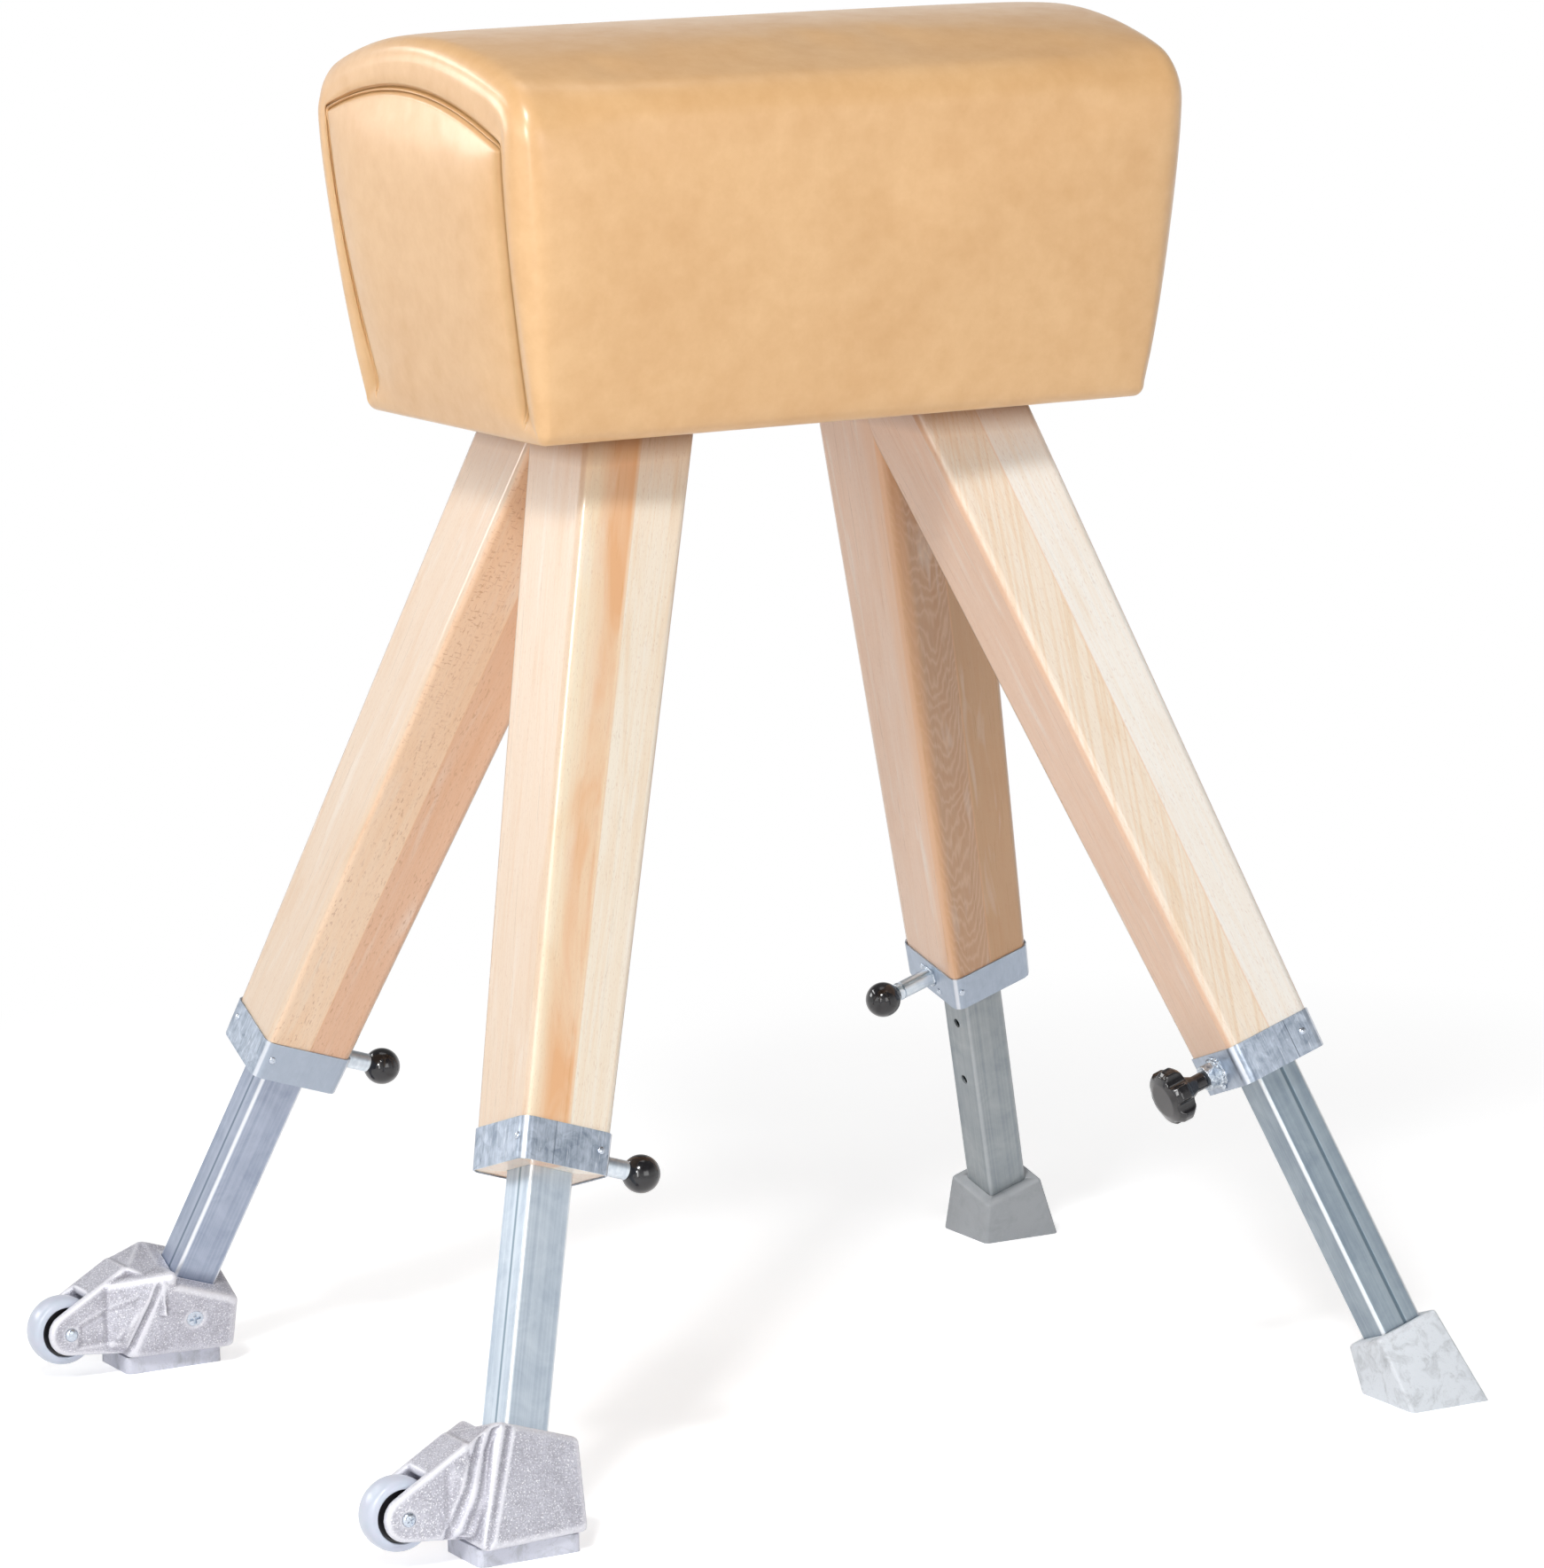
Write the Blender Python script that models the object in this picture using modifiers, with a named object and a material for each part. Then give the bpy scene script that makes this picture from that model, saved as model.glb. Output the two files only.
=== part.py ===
"""Vaulting buck: padded body on four splayed wooden legs with telescopic steel tubes.

Metres, +Z up, floor at Z = 0. X runs along the body with the castor end at -X,
and the clamp leg is the one at +X, -Y. Every length is written once below.
"""
import math

import bmesh
import bpy
from mathutils import Matrix, Vector

# General clearances
GAP = 0.0003                    # between pieces that sit against each other
OVERCUT = 0.012                 # how far a cutter runs past the face that it opens

# Padded body
BODY_HEIGHT = 1.100             # crest above the floor with the legs at rest
BODY_BASE = 0.797               # underside of the leather hem
BODY_HALF_LENGTH = 0.300
BODY_HALF_WIDTH = 0.187
BODY_BASE_HALF_LENGTH = 0.267
BODY_BASE_HALF_WIDTH = 0.157
BODY_WIDEST_DROP = 0.060        # the flanks are upright from here up to the shoulder
FLANK_POWER = 1.55              # how the flanks draw in below that
DOME_RISE = 0.0345              # crest above the dome's edge, across the body
DOME_END_DROP = 0.0015          # the crest falls by this much toward each end
SHOULDER_RADIUS = 0.036
LOWER_RADIUS = 0.016
END_RIM_RADIUS = 0.024
END_PUFF = 0.003                # the end panel's middle stands proud by this much
SEAM_INSET = 0.033              # end panel seam, measured in from the body's outline
SEAM_DEPTH = 0.0016
SEAM_WIDTH = 0.0035
LEAST_RADIUS = 0.0012           # an inner layer keeps at least this rounding
LEATHER = 0.0025
HEM_WIDTH = 0.030
BOARD_THICKNESS = 0.015
CORE_HALF_LENGTH = 0.235
CORE_HALF_WIDTH = 0.128
CORE_TOP_DROP = 0.055           # padding between the core and the crest
CORE_WALL = 0.018
MIDDLE_STATIONS = (-0.5, 0.0, 0.5)
FLANK_SHARES = (0.2, 0.4, 0.6, 0.8)     # where points lie between hem and shoulder
DOME_SHARES = (0.72, 0.45, 0.2, 0.0)    # where points lie between shoulder and crest
PANEL_SHARES = (0.8, 0.45)              # inner rings of the end panel

# Legs: axis slopes per metre of height, measured at the reference height
LEG_SLOPE_X = 0.333
LEG_SLOPE_Y = 0.369
LEG_REFERENCE_X = 0.1630
LEG_REFERENCE_Y = 0.05575
LEG_REFERENCE_Z = 0.7455
LEG_HALF_TOP = 0.04714          # half the square section at the reference point
LEG_TAPER = 0.0174              # loss of half width for each metre down the leg
LEG_EDGE_RADIUS = 0.007
LEG_BLANK_TOP = -0.110          # stations run down the axis from the reference point
BOLT_RADIUS = 0.006
BOLT_DEPTH = 0.030
BOLT_HEAD_RADIUS = 0.0115
BOLT_HEAD = 0.008

# Steel sleeve around each leg's lower end
FERRULE_TOP = 0.5103
FERRULE_BOTTOM = 0.5428
FERRULE_WALL = 0.0013
WOOD_RECESS = 0.001

# Square inner tubes
TUBE_SIDE = 0.038
TUBE_WALL = 0.002
TUBE_CORNER = 0.003
TUBE_TOP = 0.135
BORE_TOP = 0.005
INDEX_PITCH = 0.0624
INDEX_HOLES_ABOVE = 5
INDEX_HOLES_BELOW = 2
INDEX_HOLE_RADIUS = 0.0043
PLUG_FLANGE = 0.004
PLUG_INSERT = 0.020

# Spring plungers
PLUNGER_STATION = 0.526
PIN_RADIUS = 0.004
PIN_SHORT = 0.0005              # the tip stops this far from the tube
COLLAR_RADIUS = 0.0052
COLLAR_LENGTH = 0.005
COLLAR_SEAT = 0.0009            # the collar stops this far from the barrel's base
BARREL_RADIUS = 0.0075
BARREL_BORE_RADIUS = 0.0056
BARREL_END_WALL = 0.003
BALL_RADIUS = 0.015
BALL_CENTRE = 0.088
PIN_IN_BALL = 0.012

# Clamp with the star knob
CLAMP_RADIUS = 0.005
BOSS_RADIUS = 0.0105
BOSS_LENGTH = 0.013
KNOB_NECK_RADIUS = 0.007
KNOB_NECK_LENGTH = 0.010
KNOB_HUB_RADIUS = 0.012
KNOB_DISC_NEAR = 0.074          # measured out from the leg's axis
KNOB_DISC_FAR = 0.094
KNOB_RADIUS = 0.0235
KNOB_FACE_RADIUS = 0.0141
KNOB_EDGE_RADIUS = 0.02068
KNOB_EDGE_DEPTH = 0.002
KNOB_RIM_DEPTH = 0.006
KNOB_LOBES = 6
KNOB_SCALLOP_RADIUS = 0.0075
KNOB_SCALLOP_CENTRE = 0.0265
KNOB_BORE = 0.010
KNOB_SCALLOP_START = 0.006      # the scallops run this far past the disc

# Rubber feet
FOOT_CENTRE_X = 0.410
FOOT_CENTRE_Y = 0.333
FOOT_HALF_BASE = 0.037
FOOT_HALF_TOP = 0.0285
FOOT_TOP_STATION = 0.771
FOOT_TUBE_END = 0.806
FOOT_EDGE_RADIUS = 0.003

# Castors
CASTOR_TOP_STATION = 0.741
CASTOR_TUBE_END = 0.790
CASTOR_HALF_BLOCK = 0.036
CASTOR_INNER_X = 0.352
CASTOR_EDGE_RADIUS = 0.005
WHEEL_CENTRE_X = 0.491
WHEEL_CENTRE_Y = 0.318
WHEEL_CENTRE_Z = 0.041
WHEEL_RADIUS = 0.0285
WHEEL_WIDTH = 0.024
TYRE_INNER_RADIUS = 0.020
TYRE_SHOULDER = 0.006
HUB_HALF_WIDTH = 0.013
HUB_FACE_RADIUS = 0.012
HUB_RIM_HALF_WIDTH = 0.010
FORK_OUTER = 0.0215             # half width over the two cheeks
FORK_SLOT = 0.014               # half width between the cheeks
FORK_END_RADIUS = 0.018
FORK_EDGE_RADIUS = 0.0025
FORK_SLOT_RADIUS = 0.032
FORK_SLOT_IN = 0.0176           # the open slot runs this far in and out from the axle
FORK_SLOT_OUT = 0.064
FORK_ROOT_X = 0.440
FORK_ROOT_LOW = 0.018
FORK_ROOT_HIGH = 0.092
FLARE_NEAR_X = 0.408
FLARE_NEAR_LOW = 0.017
FLARE_NEAR_HIGH = 0.090
FLARE_FAR_X = 0.462
FLARE_FAR_LOW = 0.0225
FLARE_FAR_HIGH = 0.0795
AXLE_RADIUS = 0.004
AXLE_HEAD_RADIUS = 0.0055
AXLE_FACE_RADIUS = 0.00385
AXLE_HEAD = 0.0025
PAD_THICKNESS = 0.014
PAD_CENTRE_X = 0.400
PAD_CENTRE_Y = 0.3265
PAD_HALF_X = 0.0425
PAD_HALF_Y = 0.029
PAD_CORNER = 0.006
SCREW_STATION = 0.768
SCREW_OFFSET = 0.006
SCREW_RADIUS = 0.003
SCREW_HEAD_RADIUS = 0.0072
SCREW_HEAD = 0.0042
SCREW_REACH = 0.0165            # the tip's distance from the leg's axis

# Roundness of turned and bored shapes
FINE = 32
ROUND = 20
COARSE = 10

# The origin sits under the middle of the box around the whole buck
CENTRE_X = (WHEEL_CENTRE_X + WHEEL_RADIUS - FOOT_CENTRE_X - FOOT_HALF_BASE) / 2

LEGS = {
    "front_left": (-1, -1),
    "rear_left": (-1, 1),
    "front_right": (1, -1),
    "rear_right": (1, 1),
}
CASTOR_LEGS = ("front_left", "rear_left")
FOOT_LEGS = ("front_right", "rear_right")
CLAMP_LEG = "front_right"
PLUNGER_LEGS = ("front_left", "rear_left", "rear_right")


# Scene and materials

def clear_scene():
    for item in list(bpy.data.objects):
        bpy.data.objects.remove(item, do_unlink=True)


def make_collection(name):
    collection = bpy.data.collections.new(name)
    bpy.context.scene.collection.children.link(collection)
    return collection


def make_material(name, colour, roughness, metallic=0.0):
    material = bpy.data.materials.new(name)
    material.use_nodes = True
    shader = material.node_tree.nodes["Principled BSDF"]
    shader.inputs["Base Color"].default_value = (*colour, 1.0)
    shader.inputs["Roughness"].default_value = roughness
    shader.inputs["Metallic"].default_value = metallic
    material.diffuse_color = (*colour, 1.0)
    return material


class Builder:
    """Holds the two collections and the materials while the pieces are made."""

    def __init__(self):
        self.parts = make_collection("vaulting_buck")
        self.cutters = make_collection("cutters")
        self.leather = make_material("leather", (0.80, 0.52, 0.27), 0.35)
        self.foam = make_material("foam", (0.85, 0.80, 0.62), 0.9)
        self.beech = make_material("beech", (0.80, 0.58, 0.38), 0.4)
        self.plywood = make_material("plywood", (0.70, 0.52, 0.32), 0.6)
        self.zinc = make_material("zinc", (0.62, 0.66, 0.70), 0.35, 0.9)
        self.bolt_steel = make_material("bolt_steel", (0.55, 0.56, 0.58), 0.3, 1.0)
        self.cast_aluminium = make_material("cast_aluminium", (0.62, 0.62, 0.63), 0.5, 0.8)
        self.black_plastic = make_material("black_plastic", (0.01, 0.01, 0.012), 0.15)
        self.grey_rubber = make_material("grey_rubber", (0.40, 0.43, 0.44), 0.7)
        self.pad_rubber = make_material("pad_rubber", (0.62, 0.65, 0.66), 0.7)
        self.tyre_grey = make_material("tyre_grey", (0.50, 0.56, 0.64), 0.45)

    def piece(self, name, mesh, material, matrix=None):
        mesh.materials.append(material)
        return self._link(name, mesh, matrix, self.parts)

    def cutter(self, name, mesh, matrix=None):
        item = self._link(name, mesh, matrix, self.cutters)
        item.hide_render = True
        item.display_type = "WIRE"
        return item

    def _link(self, name, mesh, matrix, collection):
        item = bpy.data.objects.new(name, mesh)
        collection.objects.link(item)
        if matrix is not None:
            item.matrix_world = matrix
        return item


# Mesh helpers

def finish_mesh(name, shape):
    bmesh.ops.recalc_face_normals(shape, faces=shape.faces[:])
    mesh = bpy.data.meshes.new(name)
    shape.to_mesh(mesh)
    shape.free()
    return mesh


def box_mesh(name, low, high):
    shape = bmesh.new()
    size = Vector(high) - Vector(low)
    centre = (Vector(high) + Vector(low)) / 2
    place = Matrix.Translation(centre) @ Matrix.Diagonal((*size, 1.0))
    bmesh.ops.create_cube(shape, size=1.0, matrix=place)
    return finish_mesh(name, shape)


def weigh_edges(shape, chosen):
    layer = shape.edges.layers.float.new("bevel_weight_edge")
    for edge in shape.edges:
        edge[layer] = 1.0 if chosen(edge) else 0.0


def is_upright(edge):
    first, second = (vertex.co.z for vertex in edge.verts)
    return abs(first - second) > GAP


def is_sharp_above_floor(edge):
    raised = max(vertex.co.z for vertex in edge.verts) > FOOT_EDGE_RADIUS
    return raised and edge.calc_face_angle() > math.radians(30.0)


def square_bar(name, top, bottom, half_at):
    """Square bar down the local axis; half_at gives half the section at a station."""
    shape = bmesh.new()
    bmesh.ops.create_cube(shape, size=2.0)
    for vertex in shape.verts:
        station = top if vertex.co.z > 0 else bottom
        half = half_at(station)
        vertex.co = Vector((vertex.co.x * half, vertex.co.y * half, -station))
    weigh_edges(shape, is_upright)
    return finish_mesh(name, shape)


def cylinder_mesh(name, radius, low, high, segments=ROUND):
    return cone_mesh(name, radius, radius, low, high, segments)


def cone_mesh(name, radius_low, radius_high, low, high, segments=ROUND):
    shape = bmesh.new()
    bmesh.ops.create_cone(
        shape, cap_ends=True, segments=segments, radius1=radius_low, radius2=radius_high,
        depth=high - low, matrix=Matrix.Translation((0.0, 0.0, (low + high) / 2)))
    return finish_mesh(name, shape)


def hull_mesh(name, points, weighted=None):
    shape = bmesh.new()
    for point in points:
        shape.verts.new(point)
    result = bmesh.ops.convex_hull(shape, input=shape.verts[:])
    loose = [item for item in result["geom_interior"] if isinstance(item, bmesh.types.BMVert)]
    if loose:
        bmesh.ops.delete(shape, geom=loose, context="VERTS")
    bmesh.ops.dissolve_limit(
        shape, angle_limit=math.radians(0.5), verts=shape.verts[:], edges=shape.edges[:])
    if weighted is not None:
        weigh_edges(shape, weighted)
    return finish_mesh(name, shape)


def turn(item, steps=ROUND):
    """Turns a profile in the local XZ plane about the local Z axis."""
    screw = item.modifiers.new("turn", "SCREW")
    screw.axis = "Z"
    screw.angle = math.tau
    screw.steps = steps
    screw.render_steps = steps
    screw.use_merge_vertices = True
    screw.merge_threshold = 0.00001
    screw.use_smooth_shade = False
    screw.use_normal_calculate = False
    return item


def profile_mesh(name, points, closed=False):
    """Profile of (radius, height) pairs that runs down the outer side."""
    shape = bmesh.new()
    vertices = [shape.verts.new((radius, 0.0, height)) for radius, height in points]
    for first, second in zip(vertices, vertices[1:]):
        shape.edges.new((first, second))
    if closed:
        shape.edges.new((vertices[-1], vertices[0]))
    mesh = bpy.data.meshes.new(name)
    shape.to_mesh(mesh)
    shape.free()
    return mesh


def bevel(item, width, segments, by_weight=False, angle=30.0):
    modifier = item.modifiers.new("round", "BEVEL")
    modifier.width = width
    modifier.segments = segments
    modifier.limit_method = "WEIGHT" if by_weight else "ANGLE"
    modifier.angle_limit = math.radians(angle)
    modifier.use_clamp_overlap = True
    return item


def combine(item, other, operation="DIFFERENCE"):
    modifier = item.modifiers.new(other.name, "BOOLEAN")
    modifier.operation = operation
    modifier.solver = "EXACT"
    modifier.object = other
    return item


# Frames

def leg_axes(leg):
    """Reference point, unit axis down the leg, and the two directions across it."""
    side_x, side_y = LEGS[leg]
    origin = Vector((CENTRE_X + side_x * LEG_REFERENCE_X, side_y * LEG_REFERENCE_Y, LEG_REFERENCE_Z))
    down = Vector((side_x * LEG_SLOPE_X, side_y * LEG_SLOPE_Y, -1.0)).normalized()
    up = -down
    across = Vector((0.0, 1.0, 0.0))
    second = (across - up * across.dot(up)).normalized()
    first = second.cross(up)
    return origin, down, first, second


def frame_matrix(origin, first, second, third):
    matrix = Matrix((first, second, third)).transposed().to_4x4()
    matrix.translation = origin
    return matrix


def leg_matrix(leg):
    origin, down, first, second = leg_axes(leg)
    return frame_matrix(origin, first, second, -down)


def leg_point(leg, station, offset_first=0.0, offset_second=0.0):
    origin, down, first, second = leg_axes(leg)
    return origin + down * station + first * offset_first + second * offset_second


def leg_point_at_height(leg, height, offset_first, offset_second):
    start = leg_point(leg, 0.0, offset_first, offset_second)
    down = leg_axes(leg)[1]
    return start + down * ((height - start.z) / down.z)


def inward_matrix(leg, station):
    """Frame at a station with its Z axis pointing out of the leg's inner X face."""
    origin, down, first, _ = leg_axes(leg)
    outward = first * -LEGS[leg][0]
    return frame_matrix(origin + down * station, -down, outward.cross(-down), outward)


def leg_half(station):
    return LEG_HALF_TOP - LEG_TAPER * station


# Padded body

def flank(height, base_value, full_value):
    widest = BODY_HEIGHT - BODY_WIDEST_DROP
    share = max(0.0, (widest - height) / (widest - BODY_BASE))
    return full_value + (base_value - full_value) * share ** FLANK_POWER


def dome_point(across, inset):
    """Point of the dome's outline, moved in along its normal."""
    slope = 2 * DOME_RISE * across / BODY_HALF_WIDTH ** 2
    length = math.hypot(slope, 1.0)
    height = BODY_HEIGHT - DOME_RISE * (across / BODY_HALF_WIDTH) ** 2
    return across - inset * slope / length, height - inset / length


def shoulder_centre():
    """Centre of the shoulder's arc, and where the arc meets the dome."""
    tangent = BODY_HALF_WIDTH - SHOULDER_RADIUS
    for _ in range(20):
        slope = 2 * DOME_RISE * tangent / BODY_HALF_WIDTH ** 2
        tangent = BODY_HALF_WIDTH - SHOULDER_RADIUS + SHOULDER_RADIUS * slope / math.hypot(slope, 1.0)
    centre = dome_point(tangent, SHOULDER_RADIUS)
    return centre, tangent, math.atan(2 * DOME_RISE * tangent / BODY_HALF_WIDTH ** 2)


def half_outline(inset, base_inset):
    """Half the body's section, from the middle of the base to the crest."""
    (centre_y, centre_z), tangent, lean = shoulder_centre()
    floor = BODY_BASE + base_inset
    radius = max(LOWER_RADIUS - min(inset, base_inset), LEAST_RADIUS)
    low_y = flank(floor + radius, BODY_BASE_HALF_WIDTH, BODY_HALF_WIDTH) - inset
    points = [(0.0, floor), ((low_y - radius) / 2, floor)]
    for step in range(4):
        angle = -math.pi / 2 + step * math.pi / 6
        points.append((
            low_y - radius + radius * math.cos(angle),
            floor + radius + radius * math.sin(angle)))
    for share in FLANK_SHARES:
        height = floor + radius + (centre_z - floor - radius) * share
        points.append((flank(height, BODY_BASE_HALF_WIDTH, BODY_HALF_WIDTH) - inset, height))
    reach = max(SHOULDER_RADIUS - inset, LEAST_RADIUS)
    inner_y = BODY_HALF_WIDTH - inset - reach
    for step in range(5):
        angle = (math.pi / 2 - lean) * step / 4
        points.append((inner_y + reach * math.cos(angle), centre_z + reach * math.sin(angle)))
    for share in DOME_SHARES:
        points.append(dome_point(tangent * share, inset))
    return points


def body_ring(inset, base_inset, back_off, station=None):
    """Closed ring of the body; back_off is the distance in from the end face."""
    half = half_outline(inset, base_inset)
    outline = half + [(-across, height) for across, height in reversed(half[1:-1])]
    ring = []
    for across, height in outline:
        length = flank(height, BODY_BASE_HALF_LENGTH, BODY_HALF_LENGTH)
        along = length - back_off if station is None else (length - END_RIM_RADIUS) * station
        raised = max(0.0, (height - BODY_BASE) / (BODY_HEIGHT - BODY_BASE))
        drop = DOME_END_DROP * raised * (along / BODY_HALF_LENGTH) ** 2
        ring.append(Vector((along, across, height - drop)))
    return ring


def end_rings(inset, turns, seam):
    """Rings of the +X end, from the start of the rim's rounding to the panel."""
    radius = END_RIM_RADIUS - inset
    base_radius = LOWER_RADIUS - inset
    rings = []
    for step in range(turns + 1):
        angle = math.pi / 2 * step / turns
        grown = inset + radius * (1 - math.cos(angle))
        base_grown = inset + base_radius * (1 - math.cos(angle))
        rings.append(body_ring(grown, base_grown, END_RIM_RADIUS - radius * math.sin(angle)))
    if seam:
        low = rings[-1][0].z
        for extra, depth in ((SEAM_INSET, SEAM_DEPTH), (SEAM_INSET + SEAM_WIDTH / 2, 0.0)):
            ring = body_ring(extra, LOWER_RADIUS + (extra - END_RIM_RADIUS) / 2, inset)
            for point in ring:
                share = min(1.0, max(0.0, (point.z - low) / END_RIM_RADIUS))
                point.x -= depth * share
            rings.append(ring)
    last = rings[-1]
    middle = sum(last, Vector()) / len(last)
    for share in PANEL_SHARES:
        ring = [middle + (point - middle) * share for point in last]
        for point in ring:
            point.x = flank(point.z, BODY_BASE_HALF_LENGTH, BODY_HALF_LENGTH) - inset
            point.x += END_PUFF * (1 - share ** 2)
        rings.append(ring)
    return rings


def body_form(name, inset, turns, seam=False):
    """Loft of the body's rings: rounded rims, domed top and puffed end panels."""
    right = end_rings(inset, turns, seam)
    left = [[Vector((-point.x, point.y, point.z)) for point in ring] for ring in right]
    middle = [body_ring(inset, inset, 0.0, station) for station in MIDDLE_STATIONS]
    shape = bmesh.new()
    rows = []
    for ring in list(reversed(left)) + middle + right:
        rows.append([shape.verts.new((CENTRE_X + point.x, point.y, point.z)) for point in ring])
    for first, second in zip(rows, rows[1:]):
        for index, vertex in enumerate(first):
            following = (index + 1) % len(first)
            shape.faces.new((vertex, first[following], second[following], second[index]))
    for row in (rows[0], rows[-1]):
        middle = sum((vertex.co for vertex in row), Vector()) / len(row)
        centre = shape.verts.new(middle)
        for index, vertex in enumerate(row):
            shape.faces.new((vertex, row[(index + 1) % len(row)], centre))
    bmesh.ops.triangulate(shape, faces=shape.faces[:], quad_method="FIXED")
    return finish_mesh(name, shape)


def body_pieces(build):
    inner = LEATHER + GAP
    board_top = BODY_BASE + inner + BOARD_THICKNESS
    core_top = BODY_HEIGHT - CORE_TOP_DROP
    cover = build.piece("leather_cover", body_form("leather_cover", 0.0, 4, seam=True), build.leather)
    combine(cover, build.cutter("cover_inside", body_form("cover_inside", LEATHER, 2)))
    open_x = BODY_BASE_HALF_LENGTH - HEM_WIDTH
    open_y = BODY_BASE_HALF_WIDTH - HEM_WIDTH
    opening = box_mesh(
        "hem_opening",
        (CENTRE_X - open_x, -open_y, BODY_BASE - OVERCUT),
        (CENTRE_X + open_x, open_y, board_top))
    combine(cover, build.cutter("hem_opening", opening))

    board = build.piece("base_board", body_form("base_board", inner, 2), build.plywood)
    reach = BODY_HALF_LENGTH + OVERCUT
    above = box_mesh(
        "above_board",
        (CENTRE_X - reach, -reach, board_top),
        (CENTRE_X + reach, reach, BODY_HEIGHT + OVERCUT))
    combine(board, build.cutter("above_board", above))
    for leg in LEGS:
        combine(board, bolt_hole(build, leg))

    core_base = board_top + GAP
    foam = build.piece("foam_padding", body_form("foam_padding", inner, 2), build.foam)
    below = box_mesh(
        "below_foam",
        (CENTRE_X - reach, -reach, BODY_BASE - OVERCUT),
        (CENTRE_X + reach, reach, core_base))
    combine(foam, build.cutter("below_foam", below))
    pocket = box_mesh(
        "foam_pocket",
        (CENTRE_X - CORE_HALF_LENGTH - GAP, -CORE_HALF_WIDTH - GAP, BODY_BASE - OVERCUT),
        (CENTRE_X + CORE_HALF_LENGTH + GAP, CORE_HALF_WIDTH + GAP, core_top + GAP))
    combine(foam, build.cutter("foam_pocket", pocket))

    core = build.piece("core_frame", box_mesh(
        "core_frame",
        (CENTRE_X - CORE_HALF_LENGTH, -CORE_HALF_WIDTH, core_base),
        (CENTRE_X + CORE_HALF_LENGTH, CORE_HALF_WIDTH, core_top)), build.plywood)
    room_x = CORE_HALF_LENGTH - CORE_WALL
    room_y = CORE_HALF_WIDTH - CORE_WALL
    hollow = box_mesh(
        "core_hollow",
        (CENTRE_X - room_x, -room_y, core_base - OVERCUT),
        (CENTRE_X + room_x, room_y, core_top - CORE_WALL))
    combine(core, build.cutter("core_hollow", hollow))


# Legs

def bolt_place(leg):
    """Axis of the upright bolt, over the middle of the leg's head."""
    seat = BODY_BASE + LEATHER + GAP
    point = leg_point_at_height(leg, seat, 0.0, 0.0)
    return Matrix.Translation((point.x, point.y, seat))


def bolt_hole(build, leg):
    name = f"bolt_hole_{leg}"
    if name in bpy.data.objects:
        return bpy.data.objects[name]
    mesh = cylinder_mesh(name, BOLT_RADIUS + GAP, -BOLT_DEPTH - GAP, BOARD_THICKNESS + OVERCUT, COARSE)
    return build.cutter(name, mesh, bolt_place(leg))


def leg_bolt(build, leg):
    name = f"leg_bolt_{leg}"
    top = BOARD_THICKNESS + GAP
    shank = build.piece(name, cylinder_mesh(name, BOLT_RADIUS, -BOLT_DEPTH, top + BOLT_HEAD / 2, COARSE),
                        build.bolt_steel, bolt_place(leg))
    head = build.cutter(f"bolt_head_{leg}",
                        cylinder_mesh(f"bolt_head_{leg}", BOLT_HEAD_RADIUS, top, top + BOLT_HEAD, 6),
                        bolt_place(leg))
    combine(shank, head, "UNION")


def cross_hole(build, leg):
    """Hole for the plunger's pin or the clamp's screw through sleeve and wood."""
    name = f"cross_hole_{leg}"
    radius = (CLAMP_RADIUS if leg == CLAMP_LEG else PIN_RADIUS) + GAP
    mesh = cylinder_mesh(name, radius, TUBE_SIDE / 4, leg_half(0.0), COARSE)
    return build.cutter(name, mesh, inward_matrix(leg, PLUNGER_STATION))


def wood_leg(build, leg, hole):
    name = f"leg_{leg}"
    place = leg_matrix(leg)
    bottom = FERRULE_BOTTOM - WOOD_RECESS
    wood = build.piece(name, square_bar(name, LEG_BLANK_TOP, bottom, leg_half), build.beech, place)
    bevel(wood, LEG_EDGE_RADIUS, 3, by_weight=True)
    reach = BODY_HALF_LENGTH * 2
    side_y = LEGS[leg][1]
    near, far = sorted((side_y * GAP / 2, side_y * reach))
    keep = box_mesh(f"leg_keep_{leg}", (-reach, near, 0.0), (reach, far, BODY_BASE + LEATHER))
    combine(wood, build.cutter(f"leg_keep_{leg}", keep), "INTERSECT")
    half = TUBE_SIDE / 2 + GAP
    bore = build.cutter(f"leg_bore_{leg}", square_bar(
        f"leg_bore_{leg}", BORE_TOP, bottom + OVERCUT, lambda station: half), place)
    bevel(bore, TUBE_CORNER, 2, by_weight=True)
    combine(wood, bore)
    combine(wood, hole)
    combine(wood, bolt_hole(build, leg))


def ferrule(build, leg, hole):
    name = f"ferrule_{leg}"
    place = leg_matrix(leg)

    def outer(station):
        return leg_half(station) + GAP + FERRULE_WALL

    def inside(station):
        return leg_half(station) + GAP

    sleeve = build.piece(name, square_bar(name, FERRULE_TOP, FERRULE_BOTTOM, outer), build.zinc, place)
    bevel(sleeve, LEG_EDGE_RADIUS + FERRULE_WALL, 3, by_weight=True)
    hollow = build.cutter(f"ferrule_hollow_{leg}", square_bar(
        f"ferrule_hollow_{leg}", FERRULE_TOP - OVERCUT, FERRULE_BOTTOM + OVERCUT, inside), place)
    bevel(hollow, LEG_EDGE_RADIUS, 3, by_weight=True)
    combine(sleeve, hollow)
    combine(sleeve, hole)


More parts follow.
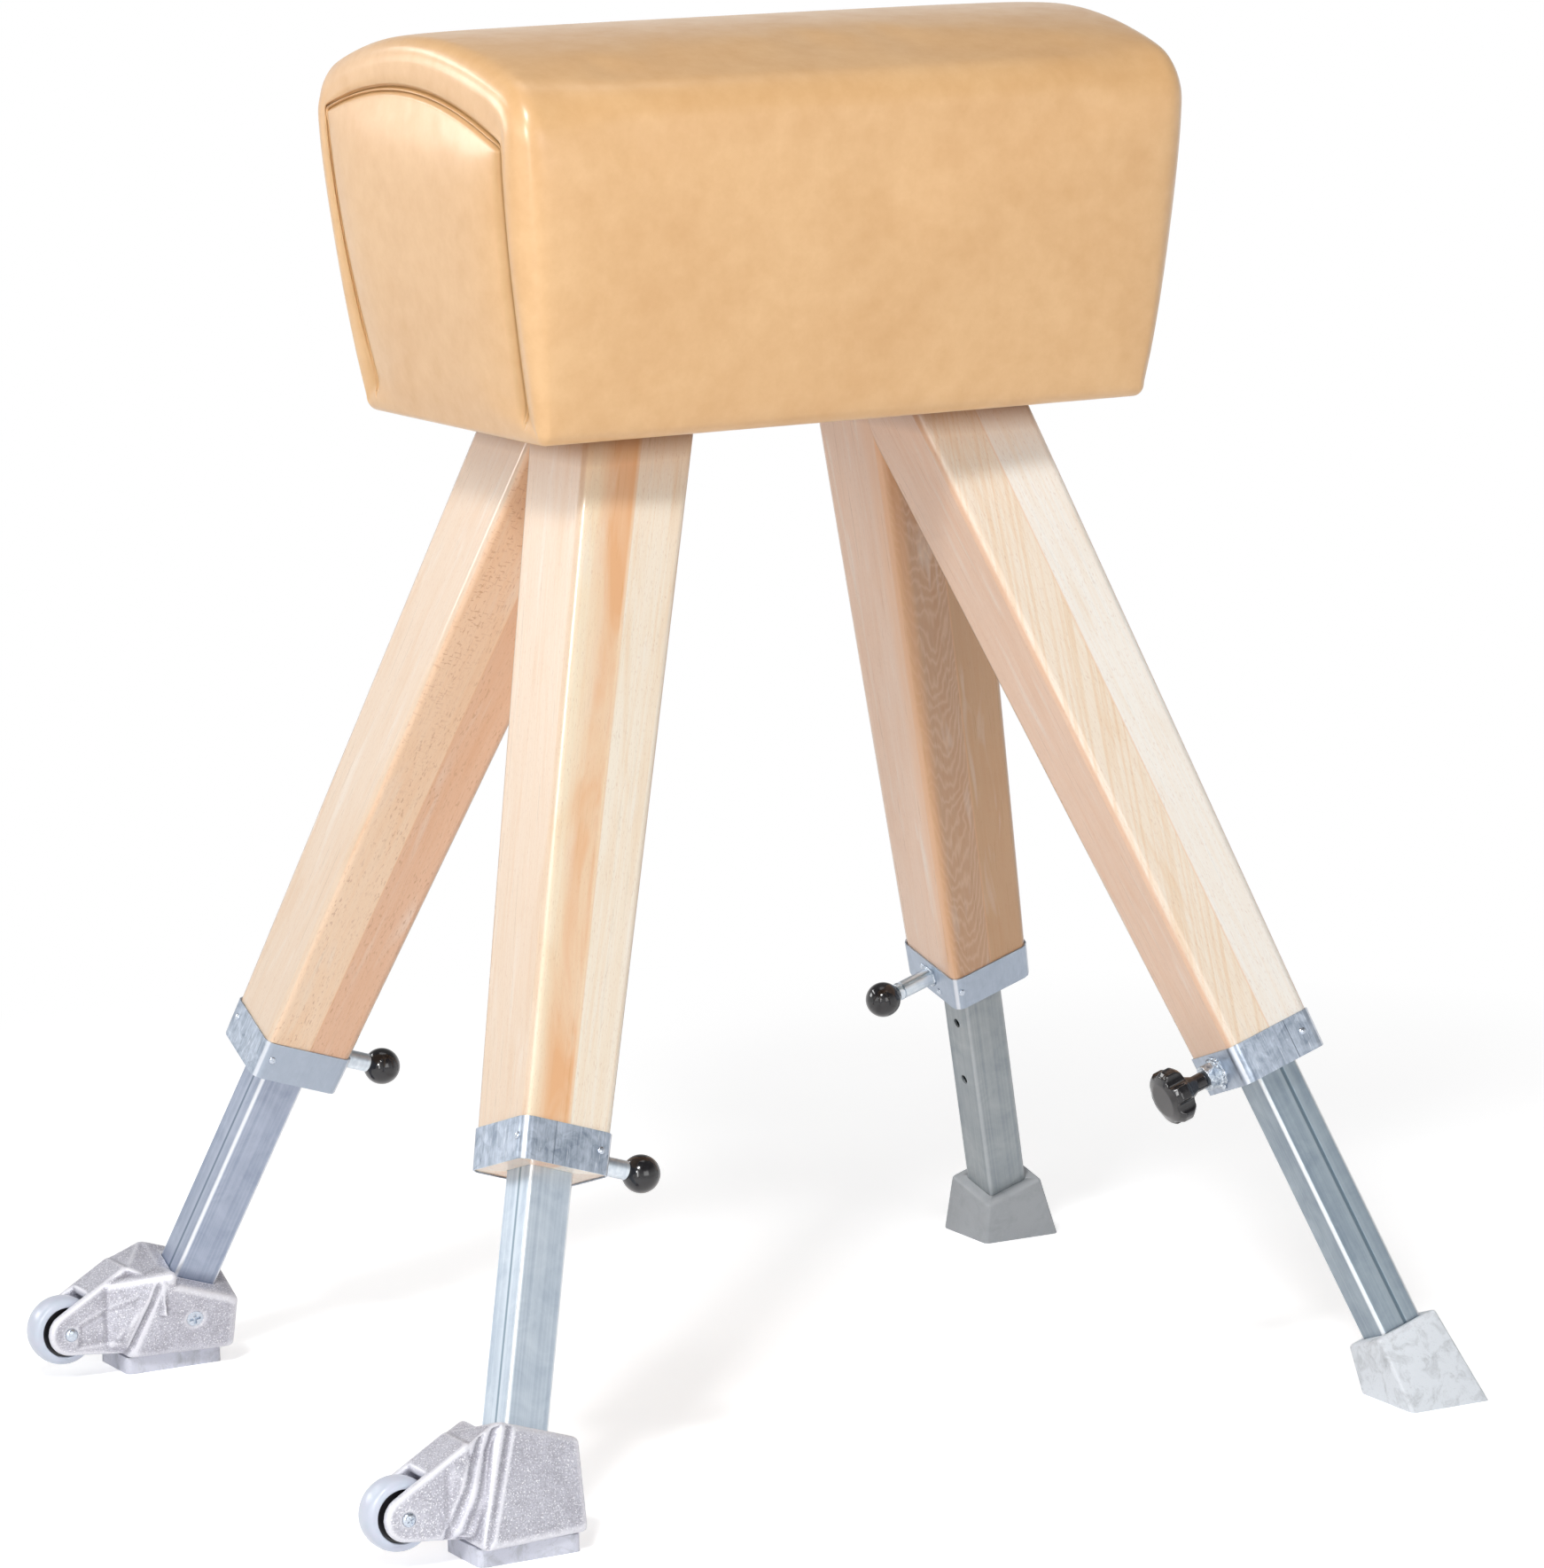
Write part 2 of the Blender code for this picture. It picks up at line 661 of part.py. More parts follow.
def inner_tube(build, leg):
    name = f"tube_{leg}"
    place = leg_matrix(leg)
    end = CASTOR_TUBE_END if leg in CASTOR_LEGS else FOOT_TUBE_END
    half = TUBE_SIDE / 2
    tube = build.piece(name, square_bar(name, TUBE_TOP, end, lambda station: half), build.zinc, place)
    bevel(tube, TUBE_CORNER, 2, by_weight=True)
    hollow = build.cutter(f"tube_hollow_{leg}", square_bar(
        f"tube_hollow_{leg}", TUBE_TOP - OVERCUT, end + OVERCUT, lambda station: half - TUBE_WALL), place)
    bevel(hollow, TUBE_CORNER - TUBE_WALL, 1, by_weight=True)
    combine(tube, hollow)
    if leg in PLUNGER_LEGS:
        for index in range(-INDEX_HOLES_ABOVE, INDEX_HOLES_BELOW + 1):
            title = f"index_hole_{leg}_{index + INDEX_HOLES_ABOVE}"
            mesh = cylinder_mesh(title, INDEX_HOLE_RADIUS, TUBE_SIDE / 4, TUBE_SIDE, COARSE)
            station = PLUNGER_STATION + index * INDEX_PITCH
            combine(tube, build.cutter(title, mesh, inward_matrix(leg, station)))
    return tube


def tube_plug(build, leg):
    name = f"tube_plug_{leg}"
    place = leg_matrix(leg)
    flange_top = TUBE_TOP - GAP - PLUG_FLANGE
    plug = build.piece(name, square_bar(
        name, flange_top, TUBE_TOP - GAP, lambda station: TUBE_SIDE / 2), build.black_plastic, place)
    bevel(plug, TUBE_CORNER, 2, by_weight=True)
    insert = build.cutter(f"plug_insert_{leg}", square_bar(
        f"plug_insert_{leg}", flange_top + PLUG_FLANGE / 2, TUBE_TOP + PLUG_INSERT,
        lambda station: TUBE_SIDE / 2 - TUBE_WALL - GAP), place)
    bevel(insert, TUBE_CORNER - TUBE_WALL, 1, by_weight=True)
    combine(plug, insert, "UNION")


# Plungers and clamp, built along an axis that points out of the leg

def sleeve_face():
    """Distance from the leg's axis to the lowest seat on the sleeve's face."""
    return leg_half(PLUNGER_STATION - BOSS_RADIUS) + GAP + FERRULE_WALL + GAP


def plunger(build, leg):
    place = inward_matrix(leg, PLUNGER_STATION)
    base = sleeve_face()
    ball_near = BALL_CENTRE - math.sqrt(BALL_RADIUS ** 2 - (PIN_RADIUS + GAP) ** 2)
    barrel_end = ball_near - GAP
    bore_end = barrel_end - BARREL_END_WALL
    name = f"plunger_barrel_{leg}"
    barrel = build.piece(name, profile_mesh(name, (
        (PIN_RADIUS + GAP, barrel_end),
        (BARREL_RADIUS, barrel_end),
        (BARREL_RADIUS, base),
        (BARREL_BORE_RADIUS, base),
        (BARREL_BORE_RADIUS, bore_end),
        (PIN_RADIUS + GAP, bore_end)), closed=True), build.zinc, place)
    turn(barrel)

    tip = TUBE_SIDE / 2 + PIN_SHORT
    collar = base + COLLAR_SEAT
    pin_end = barrel_end + PIN_IN_BALL
    name = f"plunger_pin_{leg}"
    pin = build.piece(name, profile_mesh(name, (
        (0.0, pin_end),
        (PIN_RADIUS, pin_end),
        (PIN_RADIUS, collar + COLLAR_LENGTH),
        (COLLAR_RADIUS, collar + COLLAR_LENGTH),
        (COLLAR_RADIUS, collar),
        (PIN_RADIUS, collar),
        (PIN_RADIUS, tip),
        (0.0, tip))), build.bolt_steel, place)
    turn(pin)

    name = f"ball_knob_{leg}"
    shape = bmesh.new()
    bmesh.ops.create_uvsphere(shape, u_segments=ROUND, v_segments=ROUND // 2 + 3, radius=BALL_RADIUS,
                              matrix=Matrix.Translation((0.0, 0.0, BALL_CENTRE)))
    ball = build.piece(name, finish_mesh(name, shape), build.black_plastic, place)
    bore = cylinder_mesh(f"ball_bore_{leg}", PIN_RADIUS + GAP, base, pin_end + GAP, ROUND)
    combine(ball, build.cutter(f"ball_bore_{leg}", bore, place))


def clamp(build):
    place = inward_matrix(CLAMP_LEG, PLUNGER_STATION)
    base = sleeve_face()
    bore = CLAMP_RADIUS + GAP
    boss = build.piece("clamp_boss", profile_mesh("clamp_boss", (
        (bore, base + BOSS_LENGTH),
        (BOSS_RADIUS, base + BOSS_LENGTH),
        (BOSS_RADIUS, base),
        (bore, base)), closed=True), build.zinc, place)
    turn(boss)

    screw_end = KNOB_DISC_NEAR + KNOB_BORE
    tip = TUBE_SIDE / 2 + PIN_SHORT
    screw = build.piece("clamp_screw", profile_mesh("clamp_screw", (
        (0.0, screw_end),
        (CLAMP_RADIUS, screw_end),
        (CLAMP_RADIUS, tip),
        (0.0, tip))), build.bolt_steel, place)
    turn(screw)

    neck = base + BOSS_LENGTH + GAP
    knob = build.piece("star_knob", profile_mesh("star_knob", (
        (0.0, KNOB_DISC_FAR),
        (KNOB_FACE_RADIUS, KNOB_DISC_FAR),
        (KNOB_EDGE_RADIUS, KNOB_DISC_FAR - KNOB_EDGE_DEPTH),
        (KNOB_RADIUS, KNOB_DISC_FAR - KNOB_RIM_DEPTH),
        (KNOB_RADIUS, KNOB_DISC_NEAR + KNOB_RIM_DEPTH),
        (KNOB_EDGE_RADIUS, KNOB_DISC_NEAR + KNOB_EDGE_DEPTH),
        (KNOB_HUB_RADIUS, KNOB_DISC_NEAR),
        (KNOB_NECK_RADIUS, neck + KNOB_NECK_LENGTH),
        (KNOB_NECK_RADIUS, neck),
        (0.0, neck))), build.black_plastic, place)
    turn(knob, FINE)
    for lobe in range(KNOB_LOBES):
        title = f"scallop_{lobe}"
        turned = Matrix.Rotation(math.tau * lobe / KNOB_LOBES, 4, "Z")
        offset = turned @ Matrix.Translation((KNOB_SCALLOP_CENTRE, 0.0, 0.0))
        mesh = cylinder_mesh(
            title, KNOB_SCALLOP_RADIUS, KNOB_DISC_NEAR - KNOB_SCALLOP_START, KNOB_DISC_FAR + OVERCUT)
        combine(knob, build.cutter(title, mesh, place @ offset))
    socket = cylinder_mesh("knob_socket", bore, base, screw_end + GAP, ROUND)
    combine(knob, build.cutter("knob_socket", socket, place))


# Feet

def tube_socket(build, leg, top, end):
    """Square pocket that a foot or a castor keeps for the tube's end."""
    name = f"socket_{leg}"
    half = TUBE_SIDE / 2 + GAP
    mesh = square_bar(name, top - OVERCUT, end + GAP, lambda station: half)
    pocket = build.cutter(name, mesh, leg_matrix(leg))
    return bevel(pocket, TUBE_CORNER, 2, by_weight=True)


def rubber_foot(build, leg):
    name = f"rubber_foot_{leg}"
    side_x, side_y = LEGS[leg]
    points = []
    for first in (-1, 1):
        for second in (-1, 1):
            points.append(leg_point(leg, FOOT_TOP_STATION, first * FOOT_HALF_TOP, second * FOOT_HALF_TOP))
            points.append(Vector((
                CENTRE_X + side_x * (FOOT_CENTRE_X + first * FOOT_HALF_BASE),
                side_y * (FOOT_CENTRE_Y + second * FOOT_HALF_BASE), 0.0)))
    foot = build.piece(name, hull_mesh(name, points, is_sharp_above_floor), build.grey_rubber)
    bevel(foot, FOOT_EDGE_RADIUS, 2, by_weight=True)
    combine(foot, tube_socket(build, leg, FOOT_TOP_STATION, FOOT_TUBE_END))


# Castors

def wheel_centre(leg):
    side_x, side_y = LEGS[leg]
    return Vector((CENTRE_X + side_x * WHEEL_CENTRE_X, side_y * WHEEL_CENTRE_Y, WHEEL_CENTRE_Z))


def across_matrix(centre):
    """Frame with its Z axis along +Y, for wheels, axles and bores."""
    return Matrix.Translation(centre) @ Matrix.Rotation(-math.pi / 2, 4, "X")


def block_points(leg):
    side_x, side_y = LEGS[leg]
    base = PAD_THICKNESS + GAP
    half = CASTOR_HALF_BLOCK
    points = []
    for second in (-half, half):
        for first in (-half, half):
            points.append(leg_point(leg, CASTOR_TOP_STATION, first, second))
        points.append(leg_point_at_height(leg, base, side_x * half, second))
        inner = leg_point_at_height(leg, base, -side_x * half, second)
        inner.x = CENTRE_X + side_x * CASTOR_INNER_X
        points.append(inner)
    return points


def flare_points(leg):
    """The block narrows into the fork over these eight corners."""
    side_x, side_y = LEGS[leg]
    half = CASTOR_HALF_BLOCK - CASTOR_EDGE_RADIUS / 2
    points = []
    for second in (-1, 1):
        for height in (FLARE_NEAR_LOW, FLARE_NEAR_HIGH):
            near = leg_point_at_height(leg, height, 0.0, second * half)
            points.append(Vector((CENTRE_X + side_x * FLARE_NEAR_X, near.y, height)))
        for height in (FLARE_FAR_LOW, FLARE_FAR_HIGH):
            points.append(Vector((
                CENTRE_X + side_x * FLARE_FAR_X, side_y * WHEEL_CENTRE_Y + second * FORK_OUTER, height)))
    return points


def fork_points(leg):
    side_x, side_y = LEGS[leg]
    centre = wheel_centre(leg)
    root_x = CENTRE_X + side_x * FORK_ROOT_X
    outline = [(root_x, FORK_ROOT_LOW), (root_x, FORK_ROOT_HIGH)]
    for step in range(FINE):
        angle = math.tau * step / FINE
        outline.append((
            centre.x + FORK_END_RADIUS * math.cos(angle),
            centre.z + FORK_END_RADIUS * math.sin(angle)))
    return [Vector((x, centre.y + side * FORK_OUTER, z)) for x, z in outline for side in (-1, 1)]


def castor_housing(build, leg, screw_hole, axle_bore):
    name = f"castor_housing_{leg}"
    side_x, side_y = LEGS[leg]
    centre = wheel_centre(leg)
    housing = build.piece(name, hull_mesh(name, block_points(leg)), build.cast_aluminium)
    bevel(housing, CASTOR_EDGE_RADIUS, 2)
    fork = build.cutter(f"fork_{leg}", hull_mesh(f"fork_{leg}", fork_points(leg)))
    bevel(fork, FORK_EDGE_RADIUS, 2, angle=40.0)
    combine(housing, fork, "UNION")
    flare = build.cutter(f"flare_{leg}", hull_mesh(f"flare_{leg}", flare_points(leg)))
    bevel(flare, CASTOR_EDGE_RADIUS, 2)
    combine(housing, flare, "UNION")
    round_slot = cylinder_mesh(f"slot_round_{leg}", FORK_SLOT_RADIUS, -FORK_SLOT, FORK_SLOT, FINE)
    combine(housing, build.cutter(f"slot_round_{leg}", round_slot, across_matrix(centre)))
    near, far = sorted((centre.x - side_x * FORK_SLOT_IN, centre.x + side_x * FORK_SLOT_OUT))
    open_slot = box_mesh(
        f"slot_open_{leg}",
        (near, centre.y - FORK_SLOT, -OVERCUT),
        (far, centre.y + FORK_SLOT, FORK_ROOT_HIGH + OVERCUT))
    combine(housing, build.cutter(f"slot_open_{leg}", open_slot))
    combine(housing, tube_socket(build, leg, CASTOR_TOP_STATION, CASTOR_TUBE_END))
    combine(housing, axle_bore)
    combine(housing, screw_hole)


def castor_pad(build, leg):
    name = f"castor_pad_{leg}"
    side_x, side_y = LEGS[leg]
    shape = bmesh.new()
    bmesh.ops.create_cube(shape, size=2.0)
    for vertex in shape.verts:
        vertex.co = Vector((
            CENTRE_X + side_x * PAD_CENTRE_X + vertex.co.x * PAD_HALF_X,
            side_y * PAD_CENTRE_Y + vertex.co.y * PAD_HALF_Y,
            PAD_THICKNESS if vertex.co.z > 0 else 0.0))
    weigh_edges(shape, is_upright)
    pad = build.piece(name, finish_mesh(name, shape), build.pad_rubber)
    bevel(pad, PAD_CORNER, 4, by_weight=True)


def wheel(build, leg):
    place = across_matrix(wheel_centre(leg))
    half = WHEEL_WIDTH / 2
    name = f"wheel_tyre_{leg}"
    outline = [(TYRE_INNER_RADIUS, half)]
    for step in range(4):
        angle = math.pi / 2 * step / 3
        outline.append((
            WHEEL_RADIUS - TYRE_SHOULDER + TYRE_SHOULDER * math.sin(angle),
            half - TYRE_SHOULDER + TYRE_SHOULDER * math.cos(angle)))
    outline += [(radius, -height) for radius, height in reversed(outline)]
    tyre = build.piece(name, profile_mesh(name, outline, closed=True), build.tyre_grey, place)
    turn(tyre, FINE)

    name = f"wheel_hub_{leg}"
    rim = TYRE_INNER_RADIUS - GAP
    bore = AXLE_RADIUS + GAP
    outline = [(bore, HUB_HALF_WIDTH), (HUB_FACE_RADIUS, HUB_HALF_WIDTH), (rim, HUB_RIM_HALF_WIDTH)]
    outline += [(radius, -height) for radius, height in reversed(outline)]
    hub = build.piece(name, profile_mesh(name, outline, closed=True), build.black_plastic, place)
    turn(hub, FINE)


def axle(build, leg):
    name = f"axle_{leg}"
    seat = FORK_OUTER + GAP
    end = seat + AXLE_HEAD
    outline = [
        (0.0, end), (AXLE_FACE_RADIUS, end), (AXLE_HEAD_RADIUS, seat + AXLE_HEAD / 3),
        (AXLE_HEAD_RADIUS, seat), (AXLE_RADIUS, seat)]
    outline += [(radius, -height) for radius, height in reversed(outline)]
    turn(build.piece(name, profile_mesh(name, outline), build.bolt_steel, across_matrix(wheel_centre(leg))))
    bore = cylinder_mesh(f"axle_bore_{leg}", AXLE_RADIUS + GAP, -end - OVERCUT, end + OVERCUT, ROUND)
    return build.cutter(f"axle_bore_{leg}", bore, across_matrix(wheel_centre(leg)))


def housing_screw(build, leg):
    """Countersunk screw through the housing's inner Y face into the tube."""
    side_y = LEGS[leg][1]
    _, down, _, second = leg_axes(leg)
    outward = second * -side_y
    place = frame_matrix(leg_point(leg, SCREW_STATION, SCREW_OFFSET), -down, outward.cross(-down), outward)
    top = CASTOR_HALF_BLOCK - GAP
    name = f"housing_screw_{leg}"
    turn(build.piece(name, profile_mesh(name, (
        (0.0, top), (SCREW_HEAD_RADIUS, top), (SCREW_RADIUS, top - SCREW_HEAD),
        (SCREW_RADIUS, SCREW_REACH), (0.0, SCREW_REACH))), build.bolt_steel, place))
    wide = SCREW_HEAD_RADIUS + 2 * GAP
    narrow = SCREW_RADIUS + GAP
    name = f"screw_hole_{leg}"
    hole = build.cutter(name, profile_mesh(name, (
        (0.0, top + OVERCUT), (wide, top + OVERCUT), (wide, top), (narrow, top - SCREW_HEAD - GAP),
        (narrow, SCREW_REACH - 2 * GAP), (0.0, SCREW_REACH - 2 * GAP))), place)
    return turn(hole)


def main():
    clear_scene()
    build = Builder()
    body_pieces(build)
    for leg in LEGS:
        hole = cross_hole(build, leg)
        wood_leg(build, leg, hole)
        leg_bolt(build, leg)
        ferrule(build, leg, hole)
        tube = inner_tube(build, leg)
        tube_plug(build, leg)
        if leg in CASTOR_LEGS:
            screw_hole = housing_screw(build, leg)
            combine(tube, screw_hole)
            castor_housing(build, leg, screw_hole, axle(build, leg))
            castor_pad(build, leg)
            wheel(build, leg)
        if leg in FOOT_LEGS:
            rubber_foot(build, leg)
        if leg in PLUNGER_LEGS:
            plunger(build, leg)
    clamp(build)


main()
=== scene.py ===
"""Vaulting buck: the packed model dressed with leather, beech, zinc, castings and rubber."""
import math

import bmesh
import bpy
import numpy as np
from bpy.props import FloatProperty, FloatVectorProperty, IntProperty, PointerProperty
from bpy.types import Operator, Panel, PropertyGroup
from mathutils import Matrix, Vector, noise

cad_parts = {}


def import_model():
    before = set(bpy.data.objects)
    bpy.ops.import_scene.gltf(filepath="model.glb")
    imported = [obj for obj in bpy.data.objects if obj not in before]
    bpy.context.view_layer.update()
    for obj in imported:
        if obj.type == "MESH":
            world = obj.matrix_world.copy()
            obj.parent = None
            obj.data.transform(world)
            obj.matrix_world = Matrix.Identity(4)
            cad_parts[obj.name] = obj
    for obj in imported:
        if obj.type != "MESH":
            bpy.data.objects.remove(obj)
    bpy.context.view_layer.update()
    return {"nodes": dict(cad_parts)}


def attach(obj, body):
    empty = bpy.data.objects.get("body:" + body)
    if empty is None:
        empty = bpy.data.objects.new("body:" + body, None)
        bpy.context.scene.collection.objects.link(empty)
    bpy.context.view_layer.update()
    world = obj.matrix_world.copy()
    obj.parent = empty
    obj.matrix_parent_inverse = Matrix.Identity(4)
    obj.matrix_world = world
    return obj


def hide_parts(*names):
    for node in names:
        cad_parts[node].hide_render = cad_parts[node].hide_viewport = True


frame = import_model()

bl_info = {
    "name": "Vaulting buck",
    "version": (1, 0, 0),
    "blender": (4, 5, 0),
    "location": "View3D > Sidebar > Buck",
    "description": "Dresses a vaulting buck with its leather, wood, metal and rubber",
    "category": "Object",
}

LEGS = {
    "front_left": (-1, -1),
    "rear_left": (-1, 1),
    "front_right": (1, -1),
    "rear_right": (1, 1),
}
CASTOR_LEGS = ("front_left", "rear_left")
FOOT_LEGS = ("front_right", "rear_right")
PLUNGER_LEGS = ("front_left", "rear_left", "rear_right")
CLAMP_LEG = "front_right"

# Where the legs stand, as in the solids
CENTRE_X = 0.03625
LEG_SLOPE = (0.333, 0.369)
LEG_REFERENCE = (0.1630, 0.05575, 0.7455)
LEG_HALF_TOP = 0.04714
LEG_TAPER = 0.0174
FERRULE_WALL = 0.0016
PLUNGER_STATION = 0.526
WHEEL = (0.491, 0.318, 0.041)
SCREW_PLACE = (0.006, 0.0, -0.768)

# The padded body
BASE_Z = 0.797
CREST_Z = 1.100
HALF_LENGTH = 0.300
HALF_WIDTH = 0.187
BASE_HALF_LENGTH = 0.267
BASE_HALF_WIDTH = 0.157
WIDEST_Z = 1.040
FLANK_POWER = 1.55
DOME_RISE = 0.0345
SHOULDER_RADIUS = 0.036
LOWER_RADIUS = 0.0115
HEM_WIDTH = 0.030
LEATHER = 0.0025
# Inside the hem the leather steps up by its own thickness and a gap, over this width
HEM_STEP = 0.012
HEM_GAP = 0.004

WHITE = (1.0, 1.0, 1.0, 1.0)


def linear(red, green, blue):
    """Display colour, from 0 to 255, as the linear colour that a shader takes."""
    values = []
    for part in (red, green, blue):
        share = part / 255
        values.append(share / 12.92 if share <= 0.04045 else ((share + 0.055) / 1.055) ** 2.4)
    return tuple(values)


def colour_prop(name, description, red, green, blue):
    return FloatVectorProperty(
        name=name, description=description, default=linear(red, green, blue),
        min=0.0, max=1.0, size=3, subtype="COLOR")


def amount_prop(name, description, default, unit="NONE"):
    return FloatProperty(name=name, description=description, default=default, min=0.0, unit=unit)


def length_prop(name, description, default):
    return amount_prop(name, description, default, "LENGTH")


def power_prop(name, description, default):
    return amount_prop(name, description, default, "POWER")


class CushionSettings(PropertyGroup):
    """Sizes and colours of the padded leather body."""

    leather: colour_prop("Leather", "Main colour of the leather", 236, 191, 137)
    shade: colour_prop("Shade", "Darker tone in its mottling", 223, 174, 118)
    # Colour of the painted shade down in a seam
    seam_shade: colour_prop("Crease", "Colour at the bottom of a seam", 128, 96, 60)
    rim_radius: length_prop("Rim radius", "Rounding where a side turns into an end", 0.0240)
    seam_depth: length_prop("Seam depth", "How deep the end panel's seam is drawn in", 0.0060)
    panel_crown: length_prop("Panel crown", "How far an end panel is domed at first", 0.0062)
    welt_height: length_prop("Welt height", "How far the welt stands up in its groove", 0.0021)
    puff: length_prop("Puff", "Most that the padding may swell on the sides and top", 0.0042)
    panel_puff: length_prop("Panel puff", "Most that the padding may swell on the panels", 0.0075)
    start_inset: length_prop("Start inset", "How much smaller the form is before it swells", 0.0012)
    pressure: amount_prop("Pressure", "Air pressure of the padding", 4.0)


class WoodSettings(PropertyGroup):
    """Colours of the beech legs, board by board."""

    warm: colour_prop("Warm board", "Left board of the front left leg", 250, 233, 206)
    pale: colour_prop("Pale board", "Right board of the front left leg", 248, 236, 218)
    tan: colour_prop("Tan board", "Left board of the rear left leg", 250, 220, 190)
    pink: colour_prop("Pink board", "Right board of the rear left leg", 236, 192, 160)
    cream: colour_prop("Cream board", "Left board of the front right leg", 246, 232, 214)
    white: colour_prop("White board", "Right board of the front right leg", 248, 242, 233)
    walnut: colour_prop("Brown board", "Left board of the rear right leg", 203, 160, 125)
    dark: colour_prop("Shaded board", "Right board of the rear right leg", 207, 164, 123)
    outer_left: colour_prop("Outer face, left", "Outer faces of the left legs", 236, 213, 189)
    outer_right: colour_prop("Outer face, right", "Outer faces of the right legs", 238, 202, 174)
    streak: colour_prop("Streak", "What fine streaks multiply the wood by", 246, 228, 206)
    # Also the colour of the painted shade at the tops of the legs
    flame: colour_prop("Heart streak", "Colour of the heart wood", 236, 182, 134)
    fleck: colour_prop("Fleck", "Colour of the flecks and pores", 186, 128, 88)


class MetalSettings(PropertyGroup):
    """Sizes and colours of the sleeves, tubes, castings and small steel pieces."""

    sleeve: colour_prop("Sleeve zinc", "Dark spangles on the sleeves", 128, 140, 156)
    sleeve_light: colour_prop("Sleeve spangle", "Light spangles on the sleeves", 196, 206, 220)
    tube: colour_prop("Tube zinc", "Darker streaks on the tubes", 182, 194, 207)
    tube_light: colour_prop("Tube bright", "Lighter streaks on the tubes", 228, 236, 243)
    weld: colour_prop("Weld line", "Line down one face of a tube", 112, 136, 152)
    casting: colour_prop("Casting", "Darker grain of the housings", 172, 171, 182)
    casting_light: colour_prop("Casting bright", "Lighter grain of the housings", 208, 208, 218)
    steel: colour_prop("Steel", "Screws, pins and rivets", 190, 196, 204)
    rivet_radius: length_prop("Rivet radius", "Radius of a rivet's head", 0.0031)
    rivet_height: length_prop("Rivet height", "How far a rivet's head stands up", 0.0016)
    rivet_sides: IntProperty(
        name="Rivet sides", description="Faces round a rivet", default=20, min=8)
    cast_voxel: length_prop("Casting detail", "Grid size of the cast surface", 0.00115)


class PlasticSettings(PropertyGroup):
    """Colours of the rubber and plastic pieces."""

    knob: colour_prop("Knob", "Black knobs, hubs and plugs", 20, 18, 22)
    # The foot colours are partly painted light and shade: the front foot lit, the rear foot shaded
    foot: colour_prop("Foot", "Front rubber foot", 231, 236, 242)
    foot_dark: colour_prop("Foot, darker", "Rear rubber foot", 174, 178, 182)
    foot_worn: colour_prop("Foot, worn", "Scuffed rubber", 158, 162, 166)
    pad: colour_prop("Pad", "Pads under the castors", 221, 223, 235)
    tyre: colour_prop("Tyre", "Castor tyres", 212, 216, 232)
    plywood: colour_prop("Plywood", "Board and core", 206, 170, 124)
    foam: colour_prop("Foam", "Padding", 236, 226, 190)


class StageSettings(PropertyGroup):
    """Light and background."""

    floor: colour_prop("Floor", "Floor colour", 240, 240, 241)
    floor_lift: amount_prop("Floor lift", "Brightness added to the floor in view", 0.52)
    world_light: amount_prop("World light", "Even light from all sides", 0.235)
    key_power: power_prop("Key", "Lamp high at the left front", 81.0)
    left_power: power_prop("Left", "Large low lamp at the left", 20.0)
    front_power: power_prop("Front", "Large low lamp in front", 38.0)
    top_power: power_prop("Top", "Soft lamp overhead", 10.0)
    edge_power: power_prop("Edge", "Upright strip that lines the edges", 16.0)
    arc_power: power_prop("Arc", "Overhead strip that lines the rim", 14.0)
    shoulder_power: power_prop("Shoulder", "Highlight on the near shoulder", 32.0)
    panel_power: power_prop("Panel", "Highlight on the end panel", 20.0)


def smooth_step(value, low, high):
    share = min(1.0, max(0.0, (value - low) / (high - low)))
    return share * share * (3 - 2 * share)


# Node helpers

class Graph:
    """Adds and links the nodes of one tree."""

    def __init__(self, tree):
        self.tree = tree

    def link(self, source, target):
        self.tree.links.new(source, target)

    def feed(self, socket, value):
        """Links an input to another socket, or sets its number or colour."""
        if isinstance(value, bpy.types.NodeSocket):
            self.link(value, socket)
        else:
            socket.default_value = value

    def node(self, kind, settings=None, **inputs):
        """Adds a node; inputs go by name, or as i0, i1 and so on by their place."""
        item = self.tree.nodes.new(kind)
        for name, value in (settings or {}).items():
            setattr(item, name, value)
        for name, value in inputs.items():
            by_place = name[0] == "i" and name[1:].isdigit()
            self.feed(item.inputs[int(name[1:]) if by_place else name.replace("_", " ")], value)
        return item

    def maths(self, operation, first, second=0.0):
        return self.node("ShaderNodeMath", {"operation": operation}, i0=first, i1=second).outputs[0]

    def times(self, first, *others):
        for other in others:
            first = self.maths("MULTIPLY", first, other)
        return first

    def plus(self, first, second):
        return self.maths("ADD", first, second)

    def minus(self, first, second):
        return self.maths("SUBTRACT", first, second)

    def size(self, value):
        return self.maths("ABSOLUTE", value)

    def weigh(self, *pairs):
        """Sum of patterns, each times its weight."""
        total = self.times(*pairs[0])
        for pair in pairs[1:]:
            total = self.plus(total, self.times(*pair))
        return total

    def span(self, value, low, high, start=0.0, end=1.0):
        """Remaps value from low..high to start..end, held at both ends."""
        return self.node(
            "ShaderNodeMapRange", {"clamp": True}, Value=value, From_Min=low, From_Max=high,
            To_Min=start, To_Max=end).outputs[0]

    def split(self, vector):
        return self.node("ShaderNodeSeparateXYZ", Vector=vector).outputs


